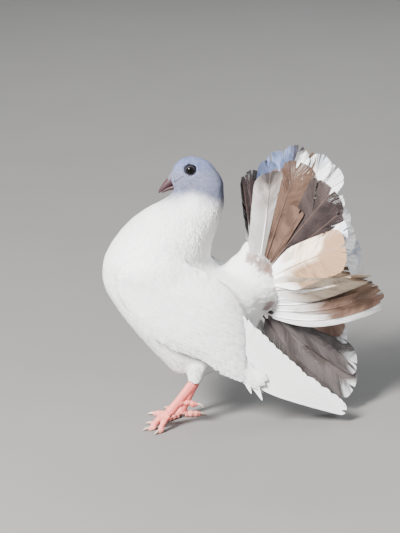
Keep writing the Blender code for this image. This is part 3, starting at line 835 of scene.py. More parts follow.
def long_feather(shaft, halves, draw, barbs, square, tip, splits, rag, roll=0.0):
    """Points, faces, vane places and shaft marks of one feather; halves are its width either side.

    splits is how many times each vane parts, rag how uneven its edge is and roll how far it turns
    on its shaft.
    """
    length = shaft.length / SHAFT_END
    edges = np.linspace(VANE_START * length, SHAFT_END * length, barbs + 1)
    lean = BARB_BASE_ANGLE + (BARB_TIP_ANGLE - BARB_BASE_ANGLE) * (edges / length / SHAFT_END) ** 2.2
    out = np.linspace(0.0, 1.0, BARB_PIECES + 1)[None]
    points, quads, places, base = [], [], [], 0
    for side, half in zip((-1, 1), halves):
        parts = np.sort(draw.uniform(*SPLIT_PLACES, splits))
        group = np.searchsorted(parts, (np.arange(barbs) + 0.5) / barbs)
        turns = draw.normal(0.0, SPLIT_TURN * rag, splits + 1)[group]
        lifts = draw.normal(0.0, SPLIT_LIFT * rag, splits + 1)[group]
        turns = turns + draw.normal(0.0, BARB_TURN * rag, barbs)
        uneven = 1 - np.abs(draw.normal(0.0, BARB_UNEVEN * rag, barbs))
        rows, marks = [], []
        for root, angle in ((edges[:-1], lean[:-1] + turns), (edges[1:], lean[1:] + turns)):
            angle = np.clip(angle, *BARB_LIMITS)
            reach = barb_reach(root, angle, length, half, square, tip) * uneven
            distance = root[:, None] + (reach * np.cos(angle))[:, None] * out
            across = (reach * np.sin(angle))[:, None] * out * (1 + 0.10 * (1 - out))
            lift = -VANE_CAMBER * half * (across / half) ** 2 + roll * side * across
            rows.append(shaft.place(distance, across * side, lift + lifts[:, None] * across * out))
            marks.append(np.stack((across * side / half, distance / length), -1))
        points.append(np.stack(rows, 2).reshape(-1, 3))
        places.append(np.stack(marks, 2).reshape(-1, 2))
        faces = grid_quads(barbs, BARB_PIECES + 1, 2) + base
        quads.append(faces if side > 0 else faces[:, ::-1])
        base += len(points[-1])
    stem, stem_quads, stem_places = quill(shaft, length)
    parts = (*points, stem), (*quads, stem_quads + base), (*places, stem_places)
    return *(np.concatenate(part) for part in parts), np.repeat((0.0, 1.0), (base, len(stem)))

# %% [markdown]
# ## Colours of the fan
# The fan is mostly white with tan, rust and grey-brown feathers, white at their roots. Some white feathers
# carry painted shade in three tints: a bluish white, a deeper bluish grey and a grey-brown. Each feather
# keeps a pigment for either vane, a place where it sets in and one where its tip changes. The finish reads
# these and does
# the rest: streaks that follow the barbs, mottling and a darker shaft.

# %% Pigments and their finish
PIGMENTS = {
    "white": (0.84, 0.84, 0.85),
    "cream": (0.66, 0.53, 0.41),
    "pale": (0.67, 0.595, 0.558),
    "blush": (0.38, 0.27, 0.23),
    "sand": (0.27, 0.168, 0.100),
    "tan": (0.085, 0.050, 0.036),
    "rust": (0.25, 0.152, 0.112),
    "taupe": (0.035, 0.025, 0.024),
    "umber": (0.021, 0.014, 0.014),
    "bark": (0.058, 0.032, 0.02),
    "black": (0.022, 0.018, 0.022),
    # The last three are painted shade on white feathers, not pigments of their own: grey-brown, pale bluish
    # white and deeper bluish grey.
    "mauve": (0.112, 0.096, 0.093),
    "frost": (0.54, 0.585, 0.702),
    "blue": (0.17, 0.218, 0.388),
}


BARB_SLANT = 0.11
BARB_WAVES = 2 * math.pi * 150.0


def barb_noise(finish, across, along, own, detail):
    """Noise that is stretched along the barbs and differs from feather to feather."""
    place = finish.node("ShaderNodeCombineXYZ", None, {0: across, 1: along, 2: own})
    return finish.noise(place, 1.0, detail)


def fan_finish():
    """Tail feathers: the stored pigment sets in from a white root and streaks along the barbs."""
    finish = Finish("tail_feather", 0.62, Specular_IOR_Level=0.15)
    across, along = finish.vane()
    pigment = finish.stored("pigment", out=0)
    start, tip, seed = (finish.stored(name) for name in ("start", "tip", "tone"))
    slant = along - abs(across) * BARB_SLANT
    streaks = barb_noise(finish, across * 1.5, slant * 60.0, seed * 40.0, 4.0)
    blotches = barb_noise(finish, across * 1.2, slant * 6.0, seed * 40.0, 2.0)
    reach = slant + (streaks - 0.5) * 0.10 + (blotches - 0.5) * 0.30
    share = (reach - start).rise(-0.04, 0.26)
    depth = 1.0 + streaks.rise(0.4, 0.8) * 0.35 - blotches.rise(0.40, 0.64) * 0.45
    worn = finish.node("ShaderNodeVectorMath", {"operation": "SCALE"}, {0: pigment, 3: depth})
    colour = finish.mix(share, PIGMENTS["white"], worn)
    colour = finish.mix((reach - tip).rise(-0.02, 0.11), colour, finish.stored("tip_pigment", out=0))
    stem = finish.stored("stem").larger((1 - abs(across).rise(0.0, 0.05)) * 0.7)
    stem_colour = finish.mix(0.62, finish.mix(share, (0.82, 0.79, 0.74), worn), (0.10, 0.065, 0.055))
    colour = finish.mix(stem * (0.15 + 0.75 * share), colour, stem_colour)
    height = (slant * BARB_WAVES).sine() * 0.4 + streaks * 0.8
    return finish.finished(colour, height, 0.0002, 0.4, 0.55 + blotches * 0.2)


def flight_finish():
    """White wing feathers with a faint cool grey that follows the streaks and differs from feather to
    feather, and fine barbs.
    """
    finish = Finish("flight_feather", 0.66, Specular_IOR_Level=0.2)
    across, along = finish.vane()
    slant = along - abs(across) * BARB_SLANT
    tone = finish.stored("tone")
    streaks = barb_noise(finish, across * 1.5, slant * 50.0, tone * 30.0, 4.0)
    colour = finish.mix(streaks * 0.22 + tone * 0.08, WHITE, (0.66, 0.68, 0.74))
    stem = finish.stored("stem").larger((1 - abs(across).rise(0.0, 0.04)) * 0.5)
    colour = finish.mix(stem * 0.6, colour, (0.72, 0.69, 0.62))
    height = (slant * BARB_WAVES).sine() * 0.5 + streaks * 1.2
    return finish.finished(colour, height, 0.0002, 0.5, 0.6 + streaks * 0.12)


FAN = fan_finish()
FLIGHT = flight_finish()

# %% [markdown]
# ## The fan
# A fantail has thirty or more tail feathers where other pigeons have 12, and they stand in a bowl. The
# solids already give that bowl as a sheet, so its stations are repeated here, in millimetres, and
# each feather gets its shaft on the sheet. Neighbours overlap like tiles: every feather is rolled a
# little on its shaft, so that its edge lies in front of the next one's and behind the last one's.

# %% The fan's sheet
# From the lowest feather on the left over the top: lift, swing to the left, length, drop, sag
FAN_STATIONS = (
    (4, 8, 125, 31, 13),
    (12, 14, 129, 26, 9),
    (18, 30, 131, 15, 4),
    (21, 41, 132, 6, 1),
    (34, 40, 133, 0, 0),
    (45, 28, 134, 0, 0),
    (62, 18, 135, 0, 0),
    (76, 13, 137, 0, 0),
    (91, 19, 130, 0, 0),
    (100, -3, 108, 0, 0),
    (84, -20, 125, 0, 0),
    (71, -25, 147, 0, 0),
    (58, -27, 150, 0, 0),
    (44, -30, 136, 0, 0),
    (21, -36, 128, 0, 0),
    (0, -38, 138, 1, 0),
    (-21, -37, 138, 4, 0),
    (-37, -28, 129, 9, 0),
    (-47, -13, 148, 16, 0),
    (-60, -2, 106, 34, 0),
)
FAN_ROOT = np.array((15.0, 0.0, 144.0))
FAN_TURN_STEP = 0.045
FEATHER_BOW = 0.03
LAYER_SIGN = -1.0
SECTORS = ("left_low", "left_mid", "left_high", "top", "right_high", "right_mid", "right_low")


def fan_way(row):
    """A station's direction from its lift and its swing to the left."""
    lift, swing = math.radians(row[0]), math.radians(row[1])
    level = math.cos(swing)
    return np.array((level * math.cos(lift), -math.sin(swing), level * math.sin(lift)))


def fan_shares():
    """Where each station is on the line of the tips, from 0 to 1."""
    tips = [fan_way(row) * row[2] - np.array((0, 0, row[3])) for row in FAN_STATIONS]
    walked = np.append(0.0, np.cumsum(np.linalg.norm(np.diff(tips, axis=0), axis=1)))
    return walked / walked[-1]


FAN_SHARES = fan_shares()


def curve_row(rows, at):
    """The row at any place, such as 2.4, on a smooth curve through rows of numbers."""
    last = len(rows) - 1
    i = min(int(at), last - 1)
    t = at - i
    a, b, c, d = (np.array(rows[min(max(k, 0), last)], float) for k in range(i - 1, i + 3))
    return 0.5 * (2 * b + (c - a) * t + (2 * a - 5 * b + 4 * c - d) * t**2 + (3 * b - a - 3 * c + d) * t**3)


def fan_station(share):
    """The station at any share of the fan."""
    at = np.interp(min(max(share, 0.0), 1.0), FAN_SHARES, np.arange(len(FAN_STATIONS)))
    return curve_row(FAN_STATIONS, float(at))


def fan_point(share, along):
    """A point of the fan in metres: share goes round it, along goes from its root to the tips."""
    row = fan_station(share)
    ahead, behind = fan_way(fan_station(share + FAN_TURN_STEP)), fan_way(fan_station(share - FAN_TURN_STEP))
    way = fan_way(row)
    back = unit(np.cross(ahead - behind, way))
    _, _, length, drop, sag = row
    down = np.array((0.0, 0.0, -1.0)) * (drop + sag * 4 * along * (1 - along))
    return (FAN_ROOT + way * length * along + back * length * FEATHER_BOW * along**2 + down) * MM


# %% Feathers of the fan
# place round the fan, pigments of the lower vane, the upper vane and the tip, or one for all three,
# where the pigment sets in, where the tip starts, reach, half width below and above, layer, rag
FAN_FEATHERS = (
    (0.2, "white rust white", 0.40, 0.97, 1.00, 9, 15, 1.0, 0.3),
    (0.85, "rust", 0.24, 0.97, 1.00, 16, 19, 3.0, 0.5),
    (1.5, "bark bark rust", 0.28, 0.74, 0.98, 17, 17, 1.5, 0.8),
    (2.1, "sand sand tan", 0.22, 0.80, 0.97, 18, 16, 1.0, 0.9),
    (2.6, "cream", 0.20, 0.95, 1.00, 17, 17, -1.0, 0.9),
    (3.2, "cream cream sand", 0.08, 0.88, 1.00, 25, 22, 4.5, 0.4),
    (4.0, "cream cream tan", 0.42, 0.90, 0.95, 18, 18, 1.0, 0.8),
    (4.7, "sand cream sand", 0.16, 0.66, 1.00, 24, 20, 6.0, 0.5),
    (5.5, "white white frost", 0.60, 0.90, 0.97, 18, 18, -0.5, 1.4),
    (6.2, "umber", 0.10, 0.95, 0.96, 20, 20, 0.5, 1.0),
    (6.95, "umber taupe taupe", 0.03, 0.97, 1.02, 24, 26, 2.0, 0.6),
    (7.7, "umber", 0.05, 0.97, 0.98, 20, 18, 0.0, 0.8),
    (7.5, "tan", -0.10, 0.97, 0.72, 5, 20, 5.2, 0.5),
    (8.5, "tan", -0.10, 0.97, 1.03, 24, 13, 6.5, 0.7),
    (9.2, "blush", 0.30, 0.95, 0.96, 16, 14, 2.0, 0.6),
    (9.6, "pale pale mauve", 0.55, 0.88, 0.97, 18, 18, 4.0, 0.6),
    (11.0, "umber", 0.24, 0.95, 0.98, 8, 11, -1.0, 1.0),
    (11.7, "umber", 0.22, 0.97, 1.00, 10, 13, 0.0, 1.3),
    (12.4, "umber umber black", 0.22, 0.90, 1.00, 12, 14, 0.5, 1.5),
    (12.9, "white umber black", 0.50, 0.82, 1.00, 15, 15, 1.0, 1.3),
    # These three are white feathers with painted bluish shade on them.
    (13.7, "blue blue black", 0.45, 0.90, 1.00, 16, 16, 0.0, 1.2),
    (14.5, "blue", 0.45, 0.96, 1.00, 18, 18, 1.0, 1.3),
    (15.2, "blue white black", 0.50, 0.84, 1.00, 15, 14, 0.0, 1.9),
    (15.7, "rust tan rust", 0.35, 0.98, 0.97, 9, 9, 1.5, 1.0),
    (16.3, "white white frost", 0.60, 0.92, 0.99, 13, 12, 0.6, 1.6),
    (17.0, "white", 0.90, 1.00, 1.02, 16, 16, 1.0, 1.4),
    (17.8, "white white umber", 0.50, 0.95, 0.97, 18, 18, 0.0, 2.2),
    (18.7, "white", 0.90, 1.00, 1.00, 18, 18, 1.0, 2.0),
    (19.6, "white", 0.90, 1.00, 1.00, 19, 19, 0.0, 1.6),
    (20.5, "frost white frost", 0.50, 0.90, 1.00, 19, 19, 1.0, 1.8),
    (21.4, "white white cream", 0.90, 0.88, 1.00, 19, 19, 0.0, 1.2),
    (22.3, "sand white sand", 0.50, 0.90, 1.00, 19, 19, 1.0, 1.0),
    (23.5, "rust", 0.30, 0.90, 0.95, 19, 19, 0.0, 1.0),
    # The far low feathers are white: their grey-brown is painted shade.
    (24.2, "mauve mauve white", -0.15, 0.84, 1.00, 20, 20, 1.0, 0.5),
    (25.1, "mauve mauve white", -0.15, 0.84, 1.02, 20, 20, 0.0, 0.6),
    (26.1, "mauve mauve white", -0.15, 0.88, 1.00, 20, 20, 1.0, 0.7),
    (27.2, "mauve", -0.15, 0.95, 1.00, 18, 18, 0.0, 0.9),
)
print("fan feathers:", len(FAN_FEATHERS))

# %% Shafts of the fan
SHAFT_POINTS = 22
SHAFT_START = 0.04
BESIDE = 0.012  # a step round the fan, to find the way sideways


def fan_shaft(share, reach, layer):
    """The shaft of the tail feather at a share of the way round the fan."""
    alongs = np.linspace(SHAFT_START, reach * SHAFT_END, SHAFT_POINTS)
    points = np.array([fan_point(share, a) for a in alongs])
    beside = np.array([fan_point(share + BESIDE, a) - fan_point(share - BESIDE, a) for a in alongs])
    outside = unit(np.cross(beside, np.gradient(points, axis=0)))
    lifted = points + outside * (layer * LAYER_SIGN * np.clip(alongs / 0.4 - 0.4, 0.0, 1.0)[:, None] * MM)
    return Shaft(lifted, beside)


# %% Join feathers into a piece
BAKE_COLUMNS = 8


def bake_cell(index, count, places):
    """A feather's own oblong of the bake map, for its pattern."""
    rows = math.ceil(count / BAKE_COLUMNS)
    column, row = index % BAKE_COLUMNS, index // BAKE_COLUMNS
    x = (column + 0.5 + places[:, 0] * 0.42) / BAKE_COLUMNS
    y = (row + 0.04 + np.clip(places[:, 1], 0, 1.05) * 0.86) / rows
    return np.stack((x, y), 1)


def flock(node, feathers, finish, stored):
    """Joins long feathers into the piece that replaces a node. stored holds each one's numbers."""
    points, quads, vanes, cells, base = [], [], [], [], 0
    numbers = {key: [] for key in ("stem", *stored[0])}
    for index, ((at, faces, vane, stem), own) in enumerate(zip(feathers, stored)):
        points.append(at)
        quads.append(faces + base)
        vanes.append(vane)
        cells.append(bake_cell(index, len(feathers), vane))
        numbers["stem"].append(stem)
        for key, value in own.items():
            if isinstance(value, list):
                low, high = (np.array((*PIGMENTS[v], 1.0)) for v in value)
                numbers[key].append(np.where(vane[:, :1] < 0, low, high))
            else:
                numbers[key].append(np.full(len(at), float(value)))
        base += len(at)
    points, quads, vanes, cells = (np.concatenate(rows) for rows in (points, quads, vanes, cells))
    numbers = {key: np.concatenate(rows) for key, rows in numbers.items()}
    maps = {"OFBake": cells, "Vane": vanes}
    mesh_piece(f"{node}_feathers", points, quads, finish, maps, numbers, [node])
    print(node, len(feathers), "feathers")


# %% Build the fan
FAN_PLACES = 28
FAN_SEED = 23
FAN_ROLL = 0.08
FAN_BARBS = 90
draw = np.random.default_rng(FAN_SEED)
for sector, name in enumerate(SECTORS):
    feathers, stored = [], []
    for at, colours, start, tip, reach, half_low, half_high, layer, rag in FAN_FEATHERS:
        if int(at / FAN_PLACES * len(SECTORS)) == sector:
            shaft = fan_shaft(at / FAN_PLACES, reach, layer)
            roll = FAN_ROLL if at < FAN_PLACES / 2 else -FAN_ROLL
            halves = (half_low * MM, half_high * MM)
            blunt, splits = 2.9 - 0.45 * rag, 2 + int(2.6 * rag)
            feathers.append(long_feather(shaft, halves, draw, FAN_BARBS, blunt, 0.9, splits, rag, roll))
            names = colours.split() if " " in colours else [colours] * 3
            pigments = {"pigment": names[:2], "tip_pigment": names[2:] * 2}
            stored.append({**pigments, "start": start, "tip": tip, "tone": draw.random()})
    flock(f"tail_{name}", feathers, FAN, stored)

# %% [markdown]
# ## Wings
# The folded wing hangs beside the tail. Its coverts belong to the coat, and behind them come the
# secondaries and the long primaries, one above the other. Each lies on the plane of the folded wing,
# which closes towards the tips, and its upper vane slips under the feather above it.

# %% Rows of flight feathers
# number, tips and roots of the outermost and the innermost feather, half widths, lifts, sag
FLIGHTS = {
    "primaries": (
        8, ((104.5, 13.0), (73.0, 41.0)), ((-8.0, 57.0), (-2.0, 76.0)), (5.0, 9.0), (0.0, 2.2), 2.0
    ),
    "secondaries": (
        10, ((64.0, 45.0), (2.0, 107.0)), ((-6.0, 84.0), (-52.0, 150.0)), (9.0, 10.5), (2.4, 5.0), 1.0
    ),
}
# root, tip and half width of two that have slipped out of the left wing
LOOSE_TIPS = (((1.0, 57.0), (8.5, 38.5), 1.9), ((8.0, 56.0), (19.5, 30.5), 3.2))
LOOSE_LIFT = 1.0
LOOSE_POINT = 5.0  # their pointed ends, in half widths
print("flight feathers a side:", sum(row[0] for row in FLIGHTS.values()))

# %% Shafts of the wing
WING_SHOULDER = (-100.0, 150.0)
RIGHT_WING_DROOP = 2.5  # degrees
WING_DEPTH = ((-19.0, 6.0, 106.0), (42.5, 37.0, 14.0))  # rearwards, and out from the midline
FLIGHT_SKIN = 1.6
ROOT_SINK = 6.0  # how deep a quill starts under the coverts


def wing_place(sign, x, z, lift):
    """A point of the folded wing in metres, from its place seen from the side and its lift."""
    droop = math.radians(RIGHT_WING_DROOP if sign > 0 else 0.0)
    dx, dz = x - WING_SHOULDER[0], z - WING_SHOULDER[1]
    across = WING_SHOULDER[0] + dx * math.cos(droop) + dz * math.sin(droop)
    height = WING_SHOULDER[1] - dx * math.sin(droop) + dz * math.cos(droop)
    depth = np.interp(across, *WING_DEPTH) + FLIGHT_SKIN + lift
    return np.stack((across, sign * depth, height), -1) * MM


def flight_shaft(sign, root, tip, lift, sag):
    """A shaft from its root under the coverts to its tip, a little bowed downwards."""
    t = np.linspace(0.0, SHAFT_END, SHAFT_POINTS)
    x = root[0] + (tip[0] - root[0]) * t
    z = root[1] + (tip[1] - root[1]) * t - sag * 4 * t * (1 - t)
    sink = ROOT_SINK * np.clip(1 - t / 0.5, 0.0, 1.0) ** 1.5
    above = np.array((root[1] - tip[1], 0.0, tip[0] - root[0])) * -sign
    return Shaft(wing_place(sign, x, z, lift - sink), np.tile(above, (len(t), 1)))


def between(ends, share):
    return np.array(ends[0]) * (1 - share) + np.array(ends[1]) * share


# %% Build the wings
WING_SEED = 31
FLIGHT_ROLL = 0.07
for side, sign in SIDES:
    draw = np.random.default_rng(WING_SEED)
    for kind, (number, tips, quills, halves, lifts, sag) in FLIGHTS.items():
        feathers, stored = [], []
        roll = sign * FLIGHT_ROLL
        half = tuple(v * MM for v in halves[::-sign])
        for share in np.arange(number) / (number - 1):
            tip = between(tips, share**1.1) + draw.normal(0, 0.5, 2)
            shaft = flight_shaft(sign, between(quills, share), tip, between(lifts, share), sag)
            feathers.append(long_feather(shaft, half, draw, 80, 1.9, 0.9, 2, 0.35, roll))
            stored.append({"tone": draw.random()})
        for root, tip, half in LOOSE_TIPS if kind == "primaries" and sign < 0 else ():
            shaft = flight_shaft(sign, root, tip, LOOSE_LIFT, 0.0)
            feathers.append(long_feather(shaft, (half * MM,) * 2, draw, 30, 1.2, LOOSE_POINT, 0, 0.3))
            stored.append({"tone": draw.random()})
        flock(f"{kind}_{side}", feathers, FLIGHT, stored)

# %% [markdown]
# ## Legs and feet
# A pigeon's shank and toes are covered in soft red skin with a row of broad plates down the front and
# along the top of each toe, and small grains elsewhere. The shank and its toes are melted into one
# skin, and the plates are pressed into it along each bone's line. The claws keep their solids.

# %% Bones of the feet
HOCKS = {"left": (-49, -25, 46), "right": (-46, 12, 40)}
SHANK_FEET = {"left": (-73, -30, 16.5), "right": (-63, 7, 4)}
TOES = {
    "left": {
        "hind": ((-62.5, -28, 25), (-45.5, -27, 24)),
        "inner": ((-75.5, -27, 13.5), (-92.5, -20, 2.1)),
        "middle": ((-77, -30.5, 13), (-95, -38, 2.1)),
        "outer": ((-75, -34.5, 13), (-85, -48.5, 2.1)),
    },
    "right": {
        "hind": ((-58, 7.5, 2.9), (-42, 9.5, 2.1)),
        "inner": ((-66, 3, 2.9), (-77.5, -10, 2.1)),
        "middle": ((-68, 7, 2.9), (-91, 11.5, 2.1)),
        "outer": ((-65.5, 11, 2.9), (-77, 29.5, 2.1)),
    },
}
ANKLES = {
    "left": (((-74.6, -30.2, 14.9), 4.3), ((-71.5, -29.5, 18.0), 4.0), ((-67.0, -29.0, 21.5), 3.3)),
    "right": (((-65.0, 7.0, 4.1), 3.8), ((-61.5, 7.2, 5.6), 3.6)),
}
print("toes:", {side: len(toes) for side, toes in TOES.items()})

# %% Finish of the feet


def foot_finish():
    """Salmon red leg skin: deeper in the grooves, paler and scurfy on the plates."""
    finish = Finish("leg_skin_scaled", 0.5, Specular_IOR_Level=0.3, Subsurface_Weight=0.12)
    finish.shader.inputs["Subsurface Radius"].default_value = (0.004, 0.0015, 0.001)
    place = finish.place()
    height = finish.parts_of(place)[2]
    plate = finish.stored("plate")
    sockets = {"Vector": place, "Scale": 900.0}
    grains = finish.node("ShaderNodeTexVoronoi", {"feature": "DISTANCE_TO_EDGE"}, sockets)
    patches = finish.noise(place, 160.0)
    colour = finish.mix(patches, (0.50, 0.085, 0.078), (0.62, 0.16, 0.135))
    colour = finish.mix(plate * 0.35, colour, (0.72, 0.29, 0.23))
    groove = 1 - grains.rise(0.0, 0.12)
    colour = finish.mix(groove * 0.35 * (1 - plate), colour, (0.36, 0.06, 0.05))
    colour = finish.mix((1 - height.rise(0.002, 0.008)) * 0.35, colour, (0.70, 0.38, 0.29))
    soil = (finish.noise(place, 420.0) - 0.55).rise(0.0, 0.2) * (1 - height.rise(0.001, 0.012))
    colour = finish.mix(soil * 0.45, colour, (0.42, 0.34, 0.28))
    relief = grains.smaller(0.2) * 4.0 + patches * 0.5
    return finish.finished(colour, relief, 0.0003, 0.6, 0.42 + patches * 0.25)


# %% Plates
PLATE_LENGTH = 2.3 * MM
KNUCKLES = (0.04, 0.36, 0.70)  # shares of a toe's length


def plates_on(points, start, end, front):
    """The plates' height at each point of a bone's front, how near that bone is, and its knuckles."""
    start, end = np.array(start) * MM, np.array(end) * MM
    way = unit(end - start)
    length = np.linalg.norm(end - start)
    along = (points - start) @ way
    inside = np.clip(along, 0.0, length)
    spoke = points - (start + inside[:, None] * way)
    away = np.linalg.norm(spoke, axis=1)
    share = (along / PLATE_LENGTH) % 1.0
    shape = 1 - np.abs(2 * share - 1) ** 5
    facing = np.clip((unit(spoke) @ unit(np.array(front, float)) - 0.15) / 0.4, 0.0, 1.0)
    knuckle = sum(np.exp(-(((along / length - at) / 0.10) ** 2)) for at in KNUCKLES)
    return shape * facing, away, knuckle


# %% Build the feet
FOOT_CELL = 0.55 * MM
FOOT_SMOOTHING = 4
PLATE_HEIGHT = 0.5 * MM
KNUCKLE_HEIGHT = 0.55 * MM
FOOT = foot_finish()
for side, _ in SIDES:
    shank, toes = f"shank_{side}", [f"toe_{side}_{toe}" for toe in TOES[side]]
    foot = remeshed(f"foot_{side}", [shank] + toes, FOOT_CELL, FOOT_SMOOTHING, ANKLES[side])
    points = points_of(foot)
    rows = [plates_on(points, HOCKS[side], SHANK_FEET[side], (-0.9, 0, 0.5))]
    rows += [plates_on(points, *bone, (0, 0, 1)) for bone in TOES[side].values()]
    heights, away, knuckles = (np.stack(values) for values in zip(*rows))
    knuckles[0] = 0.0
    nearest = away.argmin(0), np.arange(len(points))
    plate = heights[nearest]
    above_floor = np.clip(points[:, 2] / (1.5 * MM), 0.0, 1.0)
    height = (plate - 0.5) * PLATE_HEIGHT + knuckles[nearest] * KNUCKLE_HEIGHT
    reshape(foot, points + normals_of(foot) * (height * above_floor)[:, None])
    foot.data.attributes.new("plate", "FLOAT", "POINT").data.foreach_set("value", plate)
    dress(foot, FOOT)
    kept_piece(foot, [shank] + toes)
    print(f"foot_{side}:", len(foot.data.polygons), "faces")

# %% Claws


def claw_finish():
    """Horn that is pale at its root and darkens to its tip, with fine lines along it."""
    finish = Finish("claw_horn", 0.35, Specular_IOR_Level=0.5)
    place = finish.place()
    low = 1 - finish.parts_of(place)[2].rise(0.0, 0.0045)
    lines = finish.noise(place, 700.0, 4.0)
    colour = finish.mix(lines, (0.36, 0.25, 0.19), (0.50, 0.38, 0.30))
    colour = finish.mix(low * 0.6, colour, (0.16, 0.11, 0.10))
    return finish.finished(colour, lines, 0.0002, 0.4, 0.30 + lines * 0.2)


CLAW = claw_finish()
for name, obj in nodes.items():
    if name.startswith("claw_"):
        dress(obj, CLAW)

# %% [markdown]
# ## Bill, ceres and eyes
# The bill is short and bends down to a fine tip. Both halves are lofted from rings along the same
# line as their solids, but finer: the upper half narrows to a ridge and overhangs the lower one, so
# that the gape shows as a dark line. The ceres are two powdery lobes over the nostrils.

# %% Lofted rings
UPPER_BILL = (
    (-64.0, 249.8, 5.5, 4.6),
    (-70.5, 248.5, 4.9, 4.1),
    (-75.0, 245.3, 3.9, 3.2),
    (-79.0, 241.6, 2.8, 2.3),
    (-82.2, 238.2, 1.7, 1.3),
    (-83.8, 235.9, 0.6, 0.5),
)
LOWER_BILL = (
    (-60.0, 243.0, 3.0, 4.0),
    (-68.0, 241.9, 2.7, 3.2),
    (-73.5, 240.4, 2.2, 2.4),
    (-78.0, 238.2, 1.6, 1.5),
    (-80.9, 236.2, 0.7, 0.6),
)
BILL_STEPS = 34
BILL_SIDES = 32
BILL_POINT = np.array((-0.15, 0, -0.3)) * MM  # how far the closed tip stands out


def bill_half(name, rows, ridge, finish):
    """A lofted half bill. ridge is above 0 for the upper half and below 0 for the lower one."""

    def row_at(share):
        return curve_row(rows, min(max(share, 0.0), 1.0) * (len(rows) - 1))

    rings, marks = [], []
    turn = np.linspace(0, 2 * math.pi, BILL_SIDES, endpoint=False)
    rise, out = np.sin(turn), np.cos(turn)
    crown = np.where(rise * ridge > 0, 1.0, 0.9)
    narrow = 1 - abs(ridge) * np.clip(rise * np.sign(ridge), 0, 1) ** 2
    for share in np.linspace(0.0, 1.0, BILL_STEPS + 1):
        x, z, half_height, half_width = row_at(share)
        along = row_at(share + 0.02) - row_at(share - 0.02)
        up = unit(np.array((along[1], 0.0, -along[0])))
        across = (out * half_width * narrow)[:, None] * np.array((0, 1, 0))
        rings.append((np.array((x, 0.0, z)) + across + (rise * half_height * crown)[:, None] * up) * MM)
        marks.append(np.stack((rise, np.full_like(rise, share)), 1))
    rings.append(np.tile(rings[-1].mean(0), (BILL_SIDES, 1)) + BILL_POINT)
    marks.append(marks[-1])
    quads = ring_quads(BILL_STEPS + 2, BILL_SIDES)[:, (0, 3, 2, 1)]
    maps = {"Vane": np.concatenate(marks)}
    half = name.split("_")[0]
    mesh_piece(name, np.concatenate(rings), quads, finish, maps, {}, [f"bill_{half}"])


# %% Build the bill


def bill_finish():
    """Dusky pink horn, darker towards the tip, with painted shade along the gape and faint growth lines."""
    finish = Finish("bill_horn", 0.42, Specular_IOR_Level=0.25)
    rise, along = finish.vane()
    lines = finish.noise(finish.place(), 420.0, 4.0)
    colour = finish.mix(lines, (0.028, 0.011, 0.014), (0.048, 0.020, 0.023))
    colour = finish.mix(along.rise(0.45, 1.0) * 0.55, colour, (0.030, 0.013, 0.018))
    # Painted shade: the horn is darkened along the gape, where the two halves meet.
    gape_shade = 1 - abs(rise).rise(0.10, 0.55)
    colour = finish.mix(gape_shade * 0.85, colour, (0.03, 0.016, 0.02))
    growth = (along * 2 * math.pi * 26.0 + lines * 3.0).sine()
    return finish.finished(colour, growth * 0.3 + lines, 0.00025, 0.4, 0.36 + lines * 0.25)


BILL = bill_finish()
bill_half("upper_bill", UPPER_BILL, 0.30, BILL)
bill_half("lower_bill", LOWER_BILL, -0.15, BILL)

# %% Ceres
CERE_CENTRE = np.array((-71.6, 2.5, 252.0))
CERE_HALF = (4.2, 2.3, 2.5)
CERE_PITCH = math.radians(42)


def ball(name, rings, sides, material):
    """A sphere of radius 1 as a mesh to be shaped."""
    maker = bmesh.new()
    bmesh.ops.create_uvsphere(maker, u_segments=sides, v_segments=rings, radius=1.0)
    obj = built(name, maker)
    obj.data.shade_smooth()
    dress(obj, material)
    return obj


def cere_finish():
    """Powdery dull grey skin with fine pores."""
    finish = Finish("cere_skin", 0.85, Sheen_Weight=0.08, Sheen_Roughness=0.6)
    place = finish.place()
    powder = finish.noise(place, 900.0, 4.0)
    colour = finish.mix(powder, (0.060, 0.052, 0.074), (0.115, 0.097, 0.128))
    pores = finish.node("ShaderNodeTexVoronoi", None, {"Vector": place, "Scale": 1500.0})
    return finish.finished(colour, pores + powder, 0.0003, 0.6, 0.75 + powder * 0.2)


CERE = cere_finish()
for side, sign in SIDES:
    cere = ball(f"cere_lobe_{side}", 24, 36, CERE)
    x, y, z = (points_of(cere) * CERE_HALF).T
    z = z * (1 + 0.22 * x / CERE_HALF[0])
    cos, sin = math.cos(CERE_PITCH), math.sin(CERE_PITCH)
    turned = np.stack((x * cos - z * sin, y, x * sin + z * cos), 1)
    reshape(cere, (turned + CERE_CENTRE * (1, sign, 1)) * MM)
    kept_piece(cere, [f"cere_{side}"])

# %% Eyes and lids
EYE_RADIUS = 6.0
PUPIL = 2.7 * MM
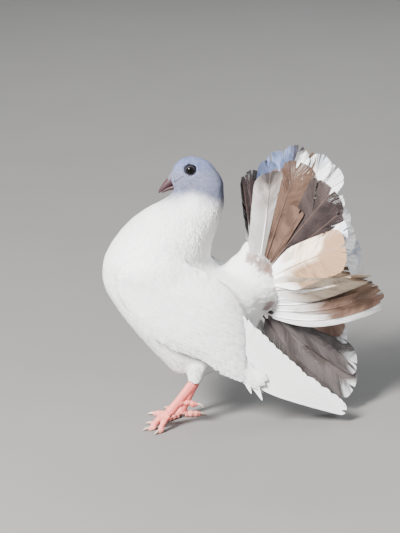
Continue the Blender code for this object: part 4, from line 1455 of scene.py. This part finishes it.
# distance from the eye's axis and height above the ball, from the inner rim to under the feathers
LID_ROWS = ((3.95, -0.25), (4.05, 0.12), (4.3, 0.38), (4.65, 0.38), (5.0, 0.15), (5.5, -0.3), (6.2, -1.3))
LID_FOLD = 5.6  # from here on the lid's skin turns away from the ball
LID_SIDES = 72
LID_BEADS = 26


def eye_finish(centre):
    """A dark eye: black pupil, very dark brown iris with fine spokes, and a wet gloss."""
    finish = Finish("eye_wet", 0.05, Specular_IOR_Level=0.12)
    place = finish.place()
    x, _, z = finish.parts_of(place)
    dx, dz = x - float(centre[0]) * MM, z - float(centre[2]) * MM
    away = (dx * dx + dz * dz) ** 0.5
    iris = finish.mix(finish.noise(place, 1400.0), (0.003, 0.002, 0.002), (0.008, 0.005, 0.005))
    rim = away.rise(PUPIL * 0.92, PUPIL * 1.08)
    return finish.finished(finish.mix(rim, (0.002, 0.002, 0.002), iris))


def lid_finish():
    """Bare lids of thin dark grey skin."""
    finish = Finish("eyelid", 0.6, Specular_IOR_Level=0.1)
    grain = finish.noise(finish.place(), 1100.0)
    colour = finish.mix(grain, (0.010, 0.010, 0.014), (0.026, 0.026, 0.036))
    return finish.finished(colour, grain, 0.0002, 0.6, 0.5 + grain * 0.2)


# %% Build the eyes
EYE = eye_finish(EYE_PLACE)
LID = lid_finish()
for side, sign in SIDES:
    centre = EYE_PLACE * (1, sign, 1)
    eye = ball(f"eyeball_{side}", 40, 56, EYE)
    reshape(eye, (points_of(eye) * EYE_RADIUS + centre) * MM)
    kept_piece(eye, [f"eye_{side}"])
    turn = np.linspace(0, 2 * math.pi, LID_SIDES, endpoint=False)
    rings = []
    for radius, above in LID_ROWS:
        bead = 1 + 0.10 * np.cos(turn * LID_BEADS) * (4.0 < radius < 4.8)
        flat = radius * (1 + 0.05 * np.cos(2 * turn))
        level = np.sqrt(np.maximum(EYE_RADIUS**2 - np.minimum(flat, LID_FOLD) ** 2, 1.0))
        level += above * bead - np.maximum(flat - LID_FOLD, 0.0) * 1.2
        ring = np.stack((flat * np.cos(turn), sign * level, flat * np.sin(turn)), 1)
        rings.append((ring + centre) * MM)
    quads = ring_quads(len(LID_ROWS), LID_SIDES)[:, ::-sign]
    mesh_piece(f"eyelids_{side}", np.concatenate(rings), quads, LID, {}, {})
